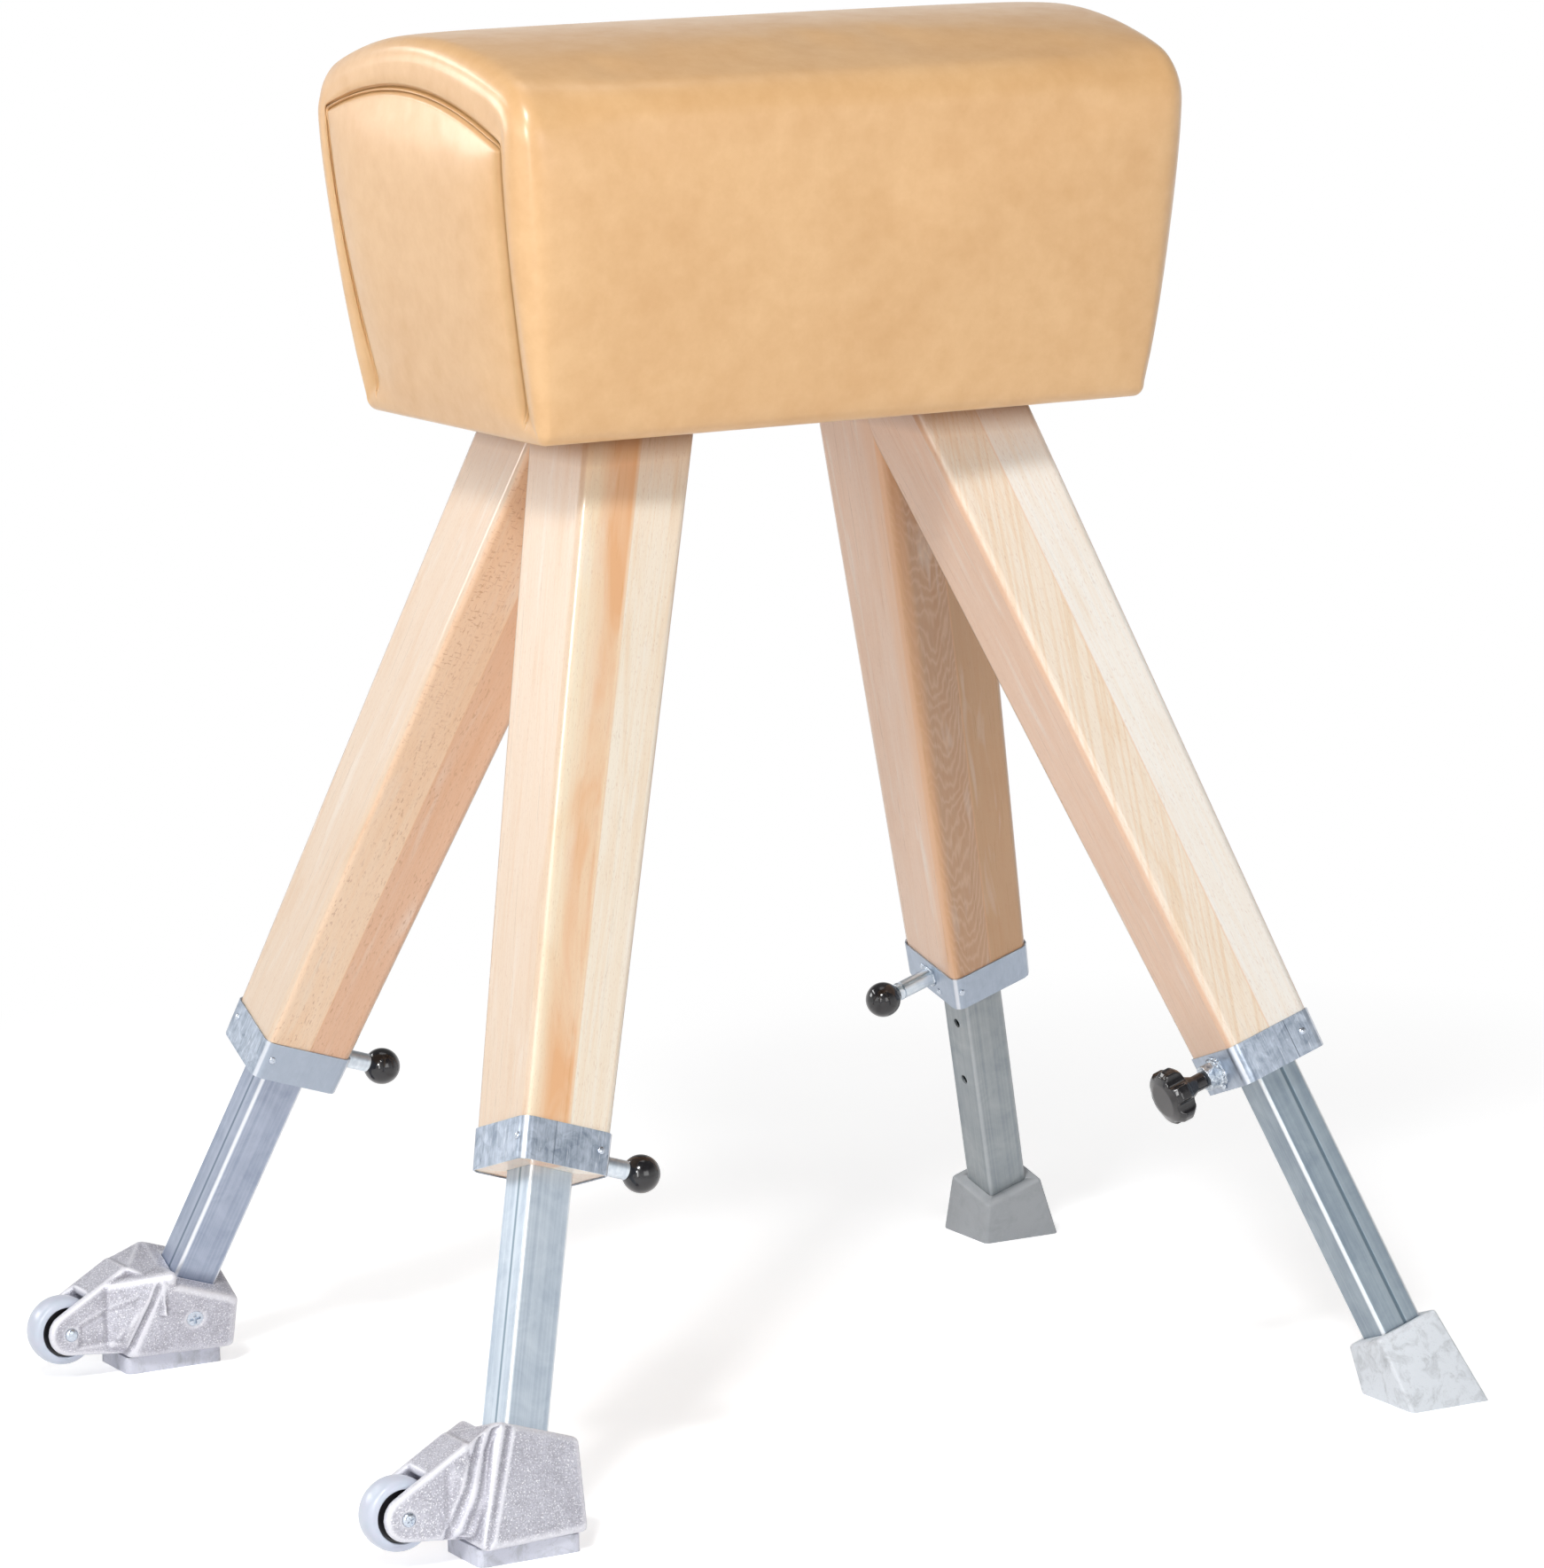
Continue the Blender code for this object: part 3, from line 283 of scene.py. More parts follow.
class Finish(Graph):
    """The nodes of one material."""

    def __init__(self, name):
        self.material = bpy.data.materials.new(name)
        self.material.use_nodes = True
        super().__init__(self.material.node_tree)
        self.shader = self.tree.nodes["Principled BSDF"]

    def set(self, **values):
        sockets = {socket.name.lower().replace(" ", "_"): socket for socket in self.shader.inputs}
        for name, value in values.items():
            self.feed(sockets[name], value)
        return self

    def done(self):
        return self.material

    def mark(self, name):
        """A point attribute's value."""
        return self.node("ShaderNodeAttribute", {"attribute_name": name}).outputs["Fac"]

    def place(self, scale=(1.0, 1.0, 1.0), attribute=None, shift=(0.0, 0.0, 0.0)):
        """Position on the piece, stretched, from Object coordinates or from an attribute."""
        if attribute:
            named = self.node("ShaderNodeAttribute", {"attribute_name": attribute})
            source = named.outputs["Vector"]
        else:
            source = self.node("ShaderNodeTexCoord").outputs["Object"]
        return self.node("ShaderNodeMapping", Vector=source, Scale=scale, Location=shift).outputs[0]

    def noise(self, vector, scale, detail=3.0, roughness=0.5, distortion=0.0):
        return self.node(
            "ShaderNodeTexNoise", Vector=vector, Scale=scale, Detail=detail,
            Roughness=roughness, Distortion=distortion).outputs["Fac"]

    def cells(self, vector, scale, output="Distance"):
        return self.node("ShaderNodeTexVoronoi", Vector=vector, Scale=scale).outputs[output]

    def blend(self, factor, first, second, mode="MIX"):
        item = self.node("ShaderNodeMix", {"data_type": "RGBA", "blend_type": mode})
        self.feed(item.inputs[0], factor)
        for index, value in ((6, first), (7, second)):
            socket = isinstance(value, bpy.types.NodeSocket)
            self.feed(item.inputs[index], value if socket else (*value, 1.0))
        return item.outputs[2]

    def tint(self, tone, pattern, low, high, amount, colour, mode="MIX"):
        """Blends a colour over tone, from none where pattern is low to amount where it is high."""
        return self.blend(self.span(pattern, low, high, 0.0, amount), tone, colour, mode)

    def paint(self, colour):
        return self.set(base_color=colour)

    def gloss(self, value):
        return self.set(roughness=value)

    def relief(self, height, distance, strength):
        bump = self.node("ShaderNodeBump", Height=height, Distance=distance, Strength=strength)
        return self.set(normal=bump.outputs[0])

    def follow(self, pattern, shades, span, rough, relief=None, **values):
        """Colour, roughness and relief that all follow one pattern; returns the material."""
        self.paint(self.blend(self.span(pattern, *span), *shades))
        self.gloss(self.span(pattern, *rough))
        if relief:
            self.relief(pattern, *relief)
        return self.set(**values).done()


def settings(name):
    return getattr(bpy.context.scene, name)


def once(name, make):
    """The procedural material of that name, made on first use; the frame has its own plain ones."""
    material = bpy.data.materials.get(f"look_{name}")
    if material is None:
        material = make(name)
        material.name = f"look_{name}"
    return material


def leather_finish(name):
    """Mottled leather, darker down in its seams with painted shade, and duller there."""
    tones = settings("buck_cushion")
    finish = Finish(name)
    where = finish.place()
    cloud = finish.noise(where, 5.5, 4.0, 0.6, 0.4)
    mottle = finish.noise(where, 42.0, 4.0, 0.65)
    speck = finish.noise(where, 420.0, 2.0, 0.6)
    mixed = finish.weigh((cloud, 0.55), (mottle, 0.45))
    base = finish.blend(finish.span(mixed, 0.38, 0.66), tones.leather, tones.shade)
    base = finish.tint(base, speck, 0.45, 0.75, 0.12, tones.shade)
    # Mask of the painted shade in the seams, which also makes them duller
    seam_shade = finish.mark("seam_shade")
    finish.paint(finish.blend(seam_shade, base, tones.seam_shade))
    finish.gloss(finish.plus(finish.span(mottle, 0.3, 0.7, 0.32, 0.42), finish.times(seam_shade, 0.6)))
    finish.relief(finish.noise(where, 70.0, 1.0), 0.0002, 0.25)
    shine = finish.span(seam_shade, 0.0, 0.5, 1.0, 0.0)
    return finish.set(
        specular_ior_level=finish.times(shine, 0.65), coat_weight=finish.times(shine, 0.4),
        coat_roughness=0.24).done()


# Each leg is two boards glued along its middle: left board, right board, figure
BOARDS = {
    "front_left": ("warm", "pale", "flame"),
    "rear_left": ("tan", "pink", "rays"),
    "front_right": ("cream", "white", "slant"),
    "rear_right": ("walnut", "dark", "waves"),
}


def wood_finish(leg):
    """Beech of one leg: two boards with fine streaks and that leg's own figure."""
    tones = settings("buck_wood")
    finish = Finish(f"beech_{leg}")
    left, right, figure = BOARDS[leg]
    raw = finish.place(attribute="grain")
    first, second, down = finish.split(raw)
    on_right = finish.span(first, -0.0004, 0.0004)
    shift = finish.times(on_right, 0.37)
    along = finish.plus(down, 10.0 * (1 + list(LEGS).index(leg)))

    def grain(scale_first, scale_second, scale_along, slant=0.0, detail=3.0, twist=0.4):
        turned = finish.plus(first, finish.times(along, slant))
        where = finish.node(
            "ShaderNodeCombineXYZ", X=finish.times(turned, scale_first),
            Y=finish.times(finish.plus(second, shift), scale_second),
            Z=finish.times(along, scale_along)).outputs[0]
        return finish.noise(where, 1.0, detail, 0.6, twist)

    reach = finish.minus(finish.size(second), finish.size(first))
    side = finish.span(reach, -0.0015, 0.0015)
    outer = finish.minus(1.0, side)
    tone = finish.blend(on_right, getattr(tones, left), getattr(tones, right))
    tone = finish.blend(outer, tone, tones.outer_left if leg in CASTOR_LEGS else tones.outer_right)
    streak = grain(420.0, 420.0, 7.0)
    tone = finish.tint(tone, streak, 0.40, 0.72, 0.35, tones.streak, "MULTIPLY")
    broad = grain(46.0, 46.0, 6.0, detail=2.0, twist=0.8)
    tone = finish.tint(tone, broad, 0.52, 0.74, 0.45, tones.streak, "MULTIPLY")
    pale = grain(70.0, 70.0, 9.0, detail=2.0)
    tone = finish.tint(tone, pale, 0.58, 0.74, 0.35, tones.white)
    stretched = finish.node(
        "ShaderNodeVectorMath", {"operation": "MULTIPLY"}, i0=raw, i1=(1500.0, 1500.0, 260.0))
    pores = finish.noise(stretched.outputs[0], 1.0, 1.0)
    tone = finish.tint(tone, pores, 0.60, 0.72, 0.22, tones.fleck)
    left_side = finish.times(finish.minus(1.0, on_right), side)
    if figure == "flame":
        band = finish.times(finish.span(first, -0.034, -0.019), finish.span(first, 0.0005, -0.003))
        flame = finish.span(grain(30.0, 30.0, 7.0, twist=1.0), 0.35, 0.58, 0.45, 1.0)
        tone = finish.blend(finish.times(band, flame, left_side), tone, tones.flame)
        lines = grain(330.0, 20.0, 2.2, slant=0.04, detail=2.0, twist=0.2)
        lines = finish.times(finish.span(lines, 0.52, 0.60, 0.0, 0.22), on_right)
        tone = finish.blend(lines, tone, tones.streak, "MULTIPLY")
    elif figure == "rays":
        rows = finish.span(grain(150.0, 60.0, 520.0, slant=0.25, detail=1.0, twist=0.2), 0.60, 0.68)
        high = finish.times(finish.span(down, 0.30, 0.12), finish.span(first, -0.006, -0.018))
        dots = finish.span(grain(620.0, 60.0, 190.0, detail=1.0, twist=0.0), 0.60, 0.70)
        thick = finish.span(grain(60.0, 20.0, 10.0, detail=1.0), 0.38, 0.60, 0.3, 1.0)
        marks = finish.plus(finish.times(rows, high), finish.times(dots, 0.75))
        tone = finish.tint(tone, finish.times(marks, thick, side), 0.0, 1.0, 0.62, tones.fleck)
        # Painted shade: warmer and darker towards the top of the leg, under the body
        painted_top_shade = finish.times(finish.span(down, 0.38, 0.10, 0.0, 0.30), side)
        tone = finish.blend(painted_top_shade, tone, tones.flame)
    elif figure == "slant":
        lines = grain(260.0, 20.0, 3.0, slant=0.30, detail=2.0, twist=0.15)
        lines = finish.times(finish.span(lines, 0.47, 0.62, 0.0, 0.55), left_side)
        tone = finish.blend(lines, tone, tones.streak, "MULTIPLY")
    else:
        bow = finish.maths("POWER", finish.size(finish.plus(first, 0.021)), 2.0)
        sweep = finish.weigh((down, 62.0), (bow, 6500.0), (grain(48.0, 9.0, 11.0, twist=0.3), 6.0))
        lines = finish.span(finish.maths("PINGPONG", sweep, 0.5), 0.20, 0.50, 0.0, 0.26)
        tone = finish.blend(finish.times(lines, left_side), tone, tones.tan)
        edge = finish.times(finish.span(first, -0.030, -0.036), finish.span(second, -0.020, -0.030))
        tone = finish.blend(finish.times(edge, 0.6), tone, tones.flame)
    seam = finish.span(finish.size(first), 0.0002, 0.0011, 0.35, 0.0)
    tone = finish.blend(finish.times(seam, side), tone, tones.flame)
    # Stands for the soft shade right under the body, which the even light of the stage leaves out
    height = finish.split(finish.place())[2]
    tone = finish.tint(tone, height, BASE_Z - 0.060, BASE_Z - 0.010, 0.28, tones.flame)
    tone = finish.tint(tone, height, BASE_Z - 0.026, BASE_Z - 0.006, 0.75, linear(132, 82, 48))
    finish.paint(tone)
    finish.gloss(finish.span(streak, 0.3, 0.7, 0.26, 0.36))
    finish.relief(finish.minus(streak, pores), 0.00010, 0.35)
    return finish.set(coat_weight=0.4, coat_roughness=0.10).done()


# How mottled the X and Y faces of each leg's sleeve are
MOTTLE = {
    "front_left": (1.0, 1.0),
    "rear_left": (1.0, 0.12),
    "front_right": (0.35, 1.0),
    "rear_right": (0.2, 0.2),
}


def sleeve_finish(leg):
    """Zinc-dipped sheet: clouded spangle with upright streaks, its rolled joint as a line, a
    painted highlight on its corners.
    """
    tones = settings("buck_metal")
    finish = Finish(f"sleeve_zinc_{leg}")
    raw = finish.place(attribute="grain", shift=(0.0, 0.0, float(list(LEGS).index(leg))))
    first, second, _ = finish.split(finish.place(attribute="grain"))
    reach = finish.minus(finish.size(second), finish.size(first))
    amount = finish.span(reach, -0.001, 0.001, *MOTTLE[leg])
    cloud = finish.noise(raw, 75.0, 3.0, 0.6, 1.2)
    patch = finish.split(finish.cells(raw, 95.0, output="Color"))[0]
    streak = finish.noise(finish.place((520.0, 520.0, 45.0), "grain"), 1.0, 3.0, 0.7)
    total = finish.weigh((cloud, 0.47), (streak, 0.43), (patch, 0.10))
    mixed = finish.plus(0.5, finish.times(finish.minus(total, 0.5), amount))
    tone = finish.blend(finish.span(mixed, 0.34, 0.64), tones.sleeve, tones.sleeve_light)
    scratch = finish.noise(finish.place((900.0, 900.0, 90.0), "grain"), 1.0, 1.0)
    marks = finish.times(finish.span(scratch, 0.66, 0.76, 0.0, 0.6), amount)
    tone = finish.blend(marks, tone, linear(236, 240, 246))
    joint = 0.0130 if leg == "front_right" else -0.0120
    offset = finish.size(finish.minus(first, joint))
    shown = 1.0 if leg.startswith("front") else 0.0
    line = finish.times(
        finish.span(offset, 0.0007, 0.0003, 0.0, shown), finish.span(second, -0.034, -0.036))
    tone = finish.blend(finish.times(line, 0.5), tone, linear(70, 78, 92))
    # Painted highlight: a white band along the sleeve's corners
    corner = finish.size(finish.minus(finish.size(first), finish.size(second)))
    finish.paint(finish.tint(tone, corner, 0.0032, 0.0014, 0.55, linear(246, 248, 252)))
    finish.gloss(finish.span(mixed, 0.3, 0.7, 0.42, 0.28))
    finish.relief(finish.minus(total, finish.times(line, 2.0)), 0.0003, 0.35)
    return finish.set(metallic=0.8).done()


# What each tube's zinc is multiplied by; partly painted light and shade, darker on the tubes that
# get less light
TUBE_PAINTED_LIGHT = {
    "tube_front_left": (244, 247, 250),
    "tube_rear_left": (198, 200, 212),
    "tube_front_right": (180, 187, 191),
    "tube_rear_right": (198, 197, 193),
}
DULL_TUBE = "tube_rear_right"
# The tube's face that has the weld line, and the line's place across it
TUBE_FACE, WELD_OFFSET = -0.0182, -0.0035


def tube_finish(name):
    """Drawn zinc tube with its weld line down one face and a painted highlight on its corners; one
    tube is dull and has no line.
    """
    tones = settings("buck_metal")
    dull = name == DULL_TUBE
    finish = Finish(name)
    raw = finish.place(attribute="grain")
    first, second, _ = finish.split(raw)
    streak = finish.noise(finish.place((330.0, 330.0, 3.0), "grain"), 1.0, 3.0, 0.6)
    cloud = finish.noise(raw, 30.0, 4.0, 0.65, 0.5)
    total = finish.weigh((streak, 0.45), (cloud, 0.55))
    tone = finish.blend(finish.span(total, 0.34, 0.66), tones.tube, tones.tube_light)
    height = streak
    if not dull:
        facing = finish.span(first, TUBE_FACE, TUBE_FACE - 0.0005)
        offset = finish.size(finish.minus(second, WELD_OFFSET))
        wide = finish.times(finish.span(offset, 0.0056, 0.0044), facing)
        line = finish.times(finish.span(offset, 0.0020, 0.0010), facing)
        tone = finish.blend(finish.times(wide, 0.5), tone, tones.tube_light)
        tone = finish.blend(finish.times(line, 0.75), tone, tones.weld)
        height = finish.minus(streak, line)
    tone = finish.blend(1.0, tone, linear(*TUBE_PAINTED_LIGHT.get(name, (255, 255, 255))), "MULTIPLY")
    # Painted highlight: a white line along the tube's corners, faint on the dull tube
    corner = finish.size(finish.minus(finish.size(first), finish.size(second)))
    wear_and_sheen, roughest, smoothest = (0.15, 0.52, 0.44) if dull else (0.7, 0.40, 0.30)
    finish.paint(finish.tint(tone, corner, 0.0030, 0.0012, wear_and_sheen, linear(250, 252, 254)))
    finish.gloss(finish.span(total, 0.3, 0.7, roughest, smoothest))
    finish.relief(height, 0.0002, 0.3)
    return finish.set(metallic=0.45 if dull else 0.75).done()


def weld_finish(name):
    """Bright, lumpy zinc over weld metal."""
    finish, tones = Finish(name), settings("buck_metal")
    lumps = finish.noise(finish.place(), 260.0, 4.0, 0.7, 0.8)
    return finish.follow(
        lumps, (tones.sleeve, tones.tube_light), (0.35, 0.65), (0.35, 0.65, 0.42, 0.22),
        (0.0009, 0.7), metallic=0.85)


def casting_finish(name):
    """Sand-cast aluminium: grain with painted glints, lighter on its edges (rubbed metal and
    painted highlight), darker in its hollows (painted shade).
    """
    finish, tones = Finish(name), settings("buck_metal")
    where = finish.place()
    sand = finish.noise(where, 620.0, 2.0, 0.7)
    cloud = finish.noise(where, 48.0, 3.0, 0.6, 0.6)
    total = finish.weigh((sand, 0.65), (cloud, 0.35))
    tone = finish.blend(finish.span(total, 0.38, 0.62), tones.casting, tones.casting_light)
    # Painted glints: small white specks in the sand grain
    painted_glints = finish.noise(where, 900.0, 0.0, 0.5)
    tone = finish.tint(tone, painted_glints, 0.62, 0.74, 0.8, linear(252, 252, 255))
    # Lighter on ridges, partly rubbed metal and partly painted highlight; darker in grooves,
    # painted shade
    edge = finish.mark("edge")
    tone = finish.tint(tone, edge, 0.56, 0.85, 0.75, linear(240, 240, 246))
    finish.paint(finish.tint(tone, edge, 0.44, 0.15, 0.45, linear(120, 118, 128)))
    finish.gloss(finish.span(sand, 0.35, 0.65, 0.58, 0.40))
    finish.relief(sand, 0.0003, 0.30)
    return finish.set(metallic=0.3, specular_ior_level=0.4).done()


def steel_finish(name):
    finish, tones = Finish(name), settings("buck_metal")
    turned = finish.noise(finish.place(), 700.0, 3.0, 0.6)
    return finish.follow(
        turned, (tones.steel, tones.sleeve_light), (0.35, 0.65), (0.35, 0.65, 0.22, 0.34),
        metallic=0.95)


def plastic_finish(name):
    finish, tones = Finish(name), settings("buck_plastic")
    haze = finish.noise(finish.place(), 160.0, 3.0, 0.6)
    return finish.follow(
        haze, (tones.knob, linear(34, 33, 36)), (0.4, 0.7), (0.35, 0.7, 0.13, 0.22),
        coat_weight=0.4, coat_roughness=0.05)


def rubber_finish(name, main, wear_and_sheen, rough):
    """Scuffed and dusty rubber."""
    finish = Finish(name)
    where = finish.place()
    scuff = finish.noise(where, 60.0, 5.0, 0.7, 0.8)
    dust = finish.noise(where, 520.0, 2.0, 0.6)
    tone = finish.tint(main, scuff, 0.48, 0.75, 0.7, wear_and_sheen)
    finish.paint(finish.tint(tone, dust, 0.6, 0.8, 0.3, wear_and_sheen))
    finish.gloss(finish.span(scuff, 0.3, 0.7, rough, rough + 0.12))
    finish.relief(finish.plus(scuff, dust), 0.0003, 0.4)
    return finish.done()


def foot_finish(name):
    tones = settings("buck_plastic")
    # Painted light and shade: the front foot gets the lit colour, the rear foot the shaded one
    main = tones.foot if name == "foot_front_right" else tones.foot_dark
    return rubber_finish(name, main, tones.foot_worn, 0.55)


def pad_finish(name):
    tones = settings("buck_plastic")
    return rubber_finish(name, tones.pad, tones.foot_worn, 0.5)


def tyre_finish(name):
    finish, tones = Finish(name), settings("buck_plastic")
    haze = finish.noise(finish.place(), 90.0, 3.0, 0.6)
    return finish.follow(
        haze, (tones.tyre, linear(206, 216, 230)), (0.35, 0.7), (0.3, 0.7, 0.28, 0.38),
        coat_weight=0.2, coat_roughness=0.15)


def plywood_finish(name):
    finish, tones = Finish(name), settings("buck_plastic")
    streak = finish.noise(finish.place((6.0, 180.0, 180.0)), 1.0, 4.0, 0.6, 0.4)
    return finish.follow(
        streak, (tones.plywood, linear(176, 132, 86)), (0.35, 0.7), (0.3, 0.7, 0.55, 0.68),
        (0.0002, 0.4))


def foam_finish(name):
    finish, tones = Finish(name), settings("buck_plastic")
    pores = finish.cells(finish.place(), 500.0)
    return finish.follow(
        pores, (tones.foam, linear(206, 194, 150)), (0.1, 0.5), (0.1, 0.5, 0.9, 0.98),
        (0.0004, 0.6))


# Frames on the legs and wheels

def axes(first, second, third, origin):
    """Matrix whose X, Y and Z axes are the three directions."""
    matrix = Matrix((first, second, third)).transposed().to_4x4()
    matrix.translation = origin
    return matrix


def leg_matrix(leg):
    """Axes: across in X, across in Y, up the leg; stations run down from the origin."""
    side_x, side_y = LEGS[leg]
    up = -Vector((side_x * LEG_SLOPE[0], side_y * LEG_SLOPE[1], -1.0)).normalized()
    across = Vector((0.0, 1.0, 0.0))
    second = (across - up * across.dot(up)).normalized()
    return axes(second.cross(up), second, up, (
        CENTRE_X + side_x * LEG_REFERENCE[0], side_y * LEG_REFERENCE[1], LEG_REFERENCE[2]))


def inward_matrix(leg, station):
    """Frame at a station whose Z axis points out of the leg's inner X face."""
    place = leg_matrix(leg)
    up = place.col[2].xyz
    outward = place.col[0].xyz * -LEGS[leg][0]
    return axes(up, outward.cross(up), outward, place.translation - up * station)


def screw_matrix(leg):
    """Frame of a housing's screw, its Z axis out of the inner Y face."""
    place = leg_matrix(leg)
    up = place.col[2].xyz
    outward = place.col[1].xyz * -LEGS[leg][1]
    return axes(up, outward.cross(up), outward, place @ Vector(SCREW_PLACE))


def across_matrix(leg):
    """Frame on a wheel's centre whose Z axis runs along +Y."""
    side_x, side_y = LEGS[leg]
    centre = Vector((CENTRE_X + side_x * WHEEL[0], side_y * WHEEL[1], WHEEL[2]))
    return Matrix.Translation(centre) @ Matrix.Rotation(-math.pi / 2, 4, "X")


def leg_half(station):
    """Half the leg's width, which tapers down the leg."""
    return LEG_HALF_TOP - LEG_TAPER * station


# Mesh helpers

def link(name, data):
    item = bpy.data.objects.new(name, data)
    bpy.context.scene.collection.objects.link(item)
    return item


def read(items, name, width=3, kind=float):
    """One property of many items as an array, with a row for each item."""
    values = np.empty(len(items) * width, dtype=kind)
    items.foreach_get(name, values)
    return values.reshape(-1, width) if width > 1 else values


def mesh_from(shape, name):
    mesh = bpy.data.meshes.new(name)
    shape.to_mesh(mesh)
    shape.free()
    return mesh


def cad_copy(node):
    """The solid of a node with its loose triangles merged."""
    shape = bmesh.new()
    shape.from_mesh(frame["nodes"][node].data)
    bmesh.ops.remove_doubles(shape, verts=shape.verts[:], dist=2e-6)
    bmesh.ops.dissolve_limit(
        shape, angle_limit=math.radians(0.4), verts=shape.verts[:], edges=shape.edges[:])
    return shape


def add_grain(mesh, leg, turned=False):
    """Stores each point's place in its leg, so that a pattern runs along the leg."""
    inverse = leg_matrix(leg).inverted()
    attribute = mesh.attributes.new("grain", "FLOAT_VECTOR", "POINT")
    for vertex in mesh.vertices:
        first, second, up = inverse @ vertex.co
        if turned:
            first, second = second, -first
        attribute.data[vertex.index].vector = (first, second, -up)


def smooth(item, angle=35.0):
    """Smooth shading that keeps sharp edges and flat faces."""
    mesh = item.data
    mesh.shade_smooth()
    mesh.set_sharp_from_angle(angle=math.radians(angle))
    modifier = item.modifiers.new("flat_faces", "WEIGHTED_NORMAL")
    modifier.keep_sharp = True
    modifier.weight = 60
    return item


def soften(item, width, segments=2, angle=40.0):
    modifier = item.modifiers.new("edges", "BEVEL")
    modifier.width = width
    modifier.segments = segments
    modifier.limit_method = "ANGLE"
    modifier.angle_limit = math.radians(angle)
    return item


def apply_all(item):
    """Turns the evaluated object into a plain mesh and drops its modifiers."""
    graph = bpy.context.evaluated_depsgraph_get()
    mesh = bpy.data.meshes.new_from_object(item.evaluated_get(graph), depsgraph=graph)
    mesh.name = item.name
    old = item.data
    item.modifiers.clear()
    item.data = mesh
    bpy.data.meshes.remove(old)
    return item


def rub(item, rounds, voxel=None):
    """Rubs edges soft, after a remesh on an even grid where a voxel size is given."""
    if voxel:
        grid = item.modifiers.new("grid", "REMESH")
        grid.mode = "VOXEL"
        grid.voxel_size = voxel
    blur = item.modifiers.new("rub", "SMOOTH")
    blur.factor, blur.iterations = 0.5, rounds
    return apply_all(item)


def finish_piece(item, material, body, nodes):
    """Gives a piece its finish and body, and hides the nodes that it stands for."""
    item.data.materials.clear()
    item.data.materials.append(material)
    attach(item, body)
    if nodes:
        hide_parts(*nodes)
    return item


def dress(name, node, material, body, leg=None, turned=False, angle=35.0):
    """Copy of a solid that stands for it."""
    item = link(name, mesh_from(cad_copy(node), name))
    if leg:
        add_grain(item.data, leg, turned)
    smooth(item, angle)
    return finish_piece(item, material, body, (node,))


def repaint(node, material):
    """Gives a kept node its finish."""
    mesh = frame["nodes"][node].data
    mesh.materials.clear()
    mesh.materials.append(material)


def lathe(profile, matrix, segments=48):
    """Turns (radius, height) points about the local Z axis; radius 0 closes an end."""
    shape = bmesh.new()
    rings = []
    for radius, height in profile:
        if radius < 1e-7:
            rings.append([shape.verts.new(matrix @ Vector((0.0, 0.0, height)))])
            continue
        ring = []
        for step in range(segments):
            angle = math.tau * step / segments
            ring.append(shape.verts.new(
                matrix @ Vector((radius * math.cos(angle), radius * math.sin(angle), height))))
        rings.append(ring)
    for lower, upper in zip(rings, rings[1:] + rings[:1]):
        if len(lower) == 1 and len(upper) == 1:
            continue
        for step in range(segments):
            after = (step + 1) % segments
            corners = [lower[step % len(lower)], lower[after % len(lower)],
                       upper[after % len(upper)], upper[step % len(upper)]]
            unique = list(dict.fromkeys(corners))
            shape.faces.new(unique)
    bmesh.ops.recalc_face_normals(shape, faces=shape.faces[:])
    return shape


# The padded body

def flank(height, base_value, full_value):
    """Half the width or length at a height: widest at WIDEST_Z, drawn in towards the base."""
    share = max(0.0, (WIDEST_Z - height) / (WIDEST_Z - BASE_Z))
    return full_value + (base_value - full_value) * share ** FLANK_POWER


def dome_point(across, inset):
    """Point of the domed top, moved in along its normal."""
    slope = 2 * DOME_RISE * across / HALF_WIDTH ** 2
    length = math.hypot(slope, 1.0)
    height = CREST_Z - DOME_RISE * (across / HALF_WIDTH) ** 2
    return across - inset * slope / length, height - inset / length


def shoulder_centre(radius):
    """Centre of the rounding that meets both side and dome, and the dome's slope there."""
    tangent = HALF_WIDTH - radius
    for _ in range(20):
        slope = 2 * DOME_RISE * tangent / HALF_WIDTH ** 2
        tangent = HALF_WIDTH - radius + radius * slope / math.hypot(slope, 1.0)
    return dome_point(tangent, radius), math.atan(2 * DOME_RISE * tangent / HALF_WIDTH ** 2)


# The shoulders are rounder at the two ends
END_FALL = 0.012
# Height over the base at which the end panel starts
SEAM_FLOOR = 0.0115
ACROSS_STEPS = 18
LOWER_STEPS = 5
FLANK_STEPS = 24
SHOULDER_STEPS = 8
DOME_STEPS = 14
SIDE_STEPS = LOWER_STEPS + FLANK_STEPS + SHOULDER_STEPS // 2
BARREL_STEPS = 27
# Rows at each end that the cloth holds; the first end holds one more
HELD_ROWS = 11
CLOTH_FRAMES = 20
# A point nearer than this to the end's full outline is on the end panel
PANEL_MARGIN = 0.0085


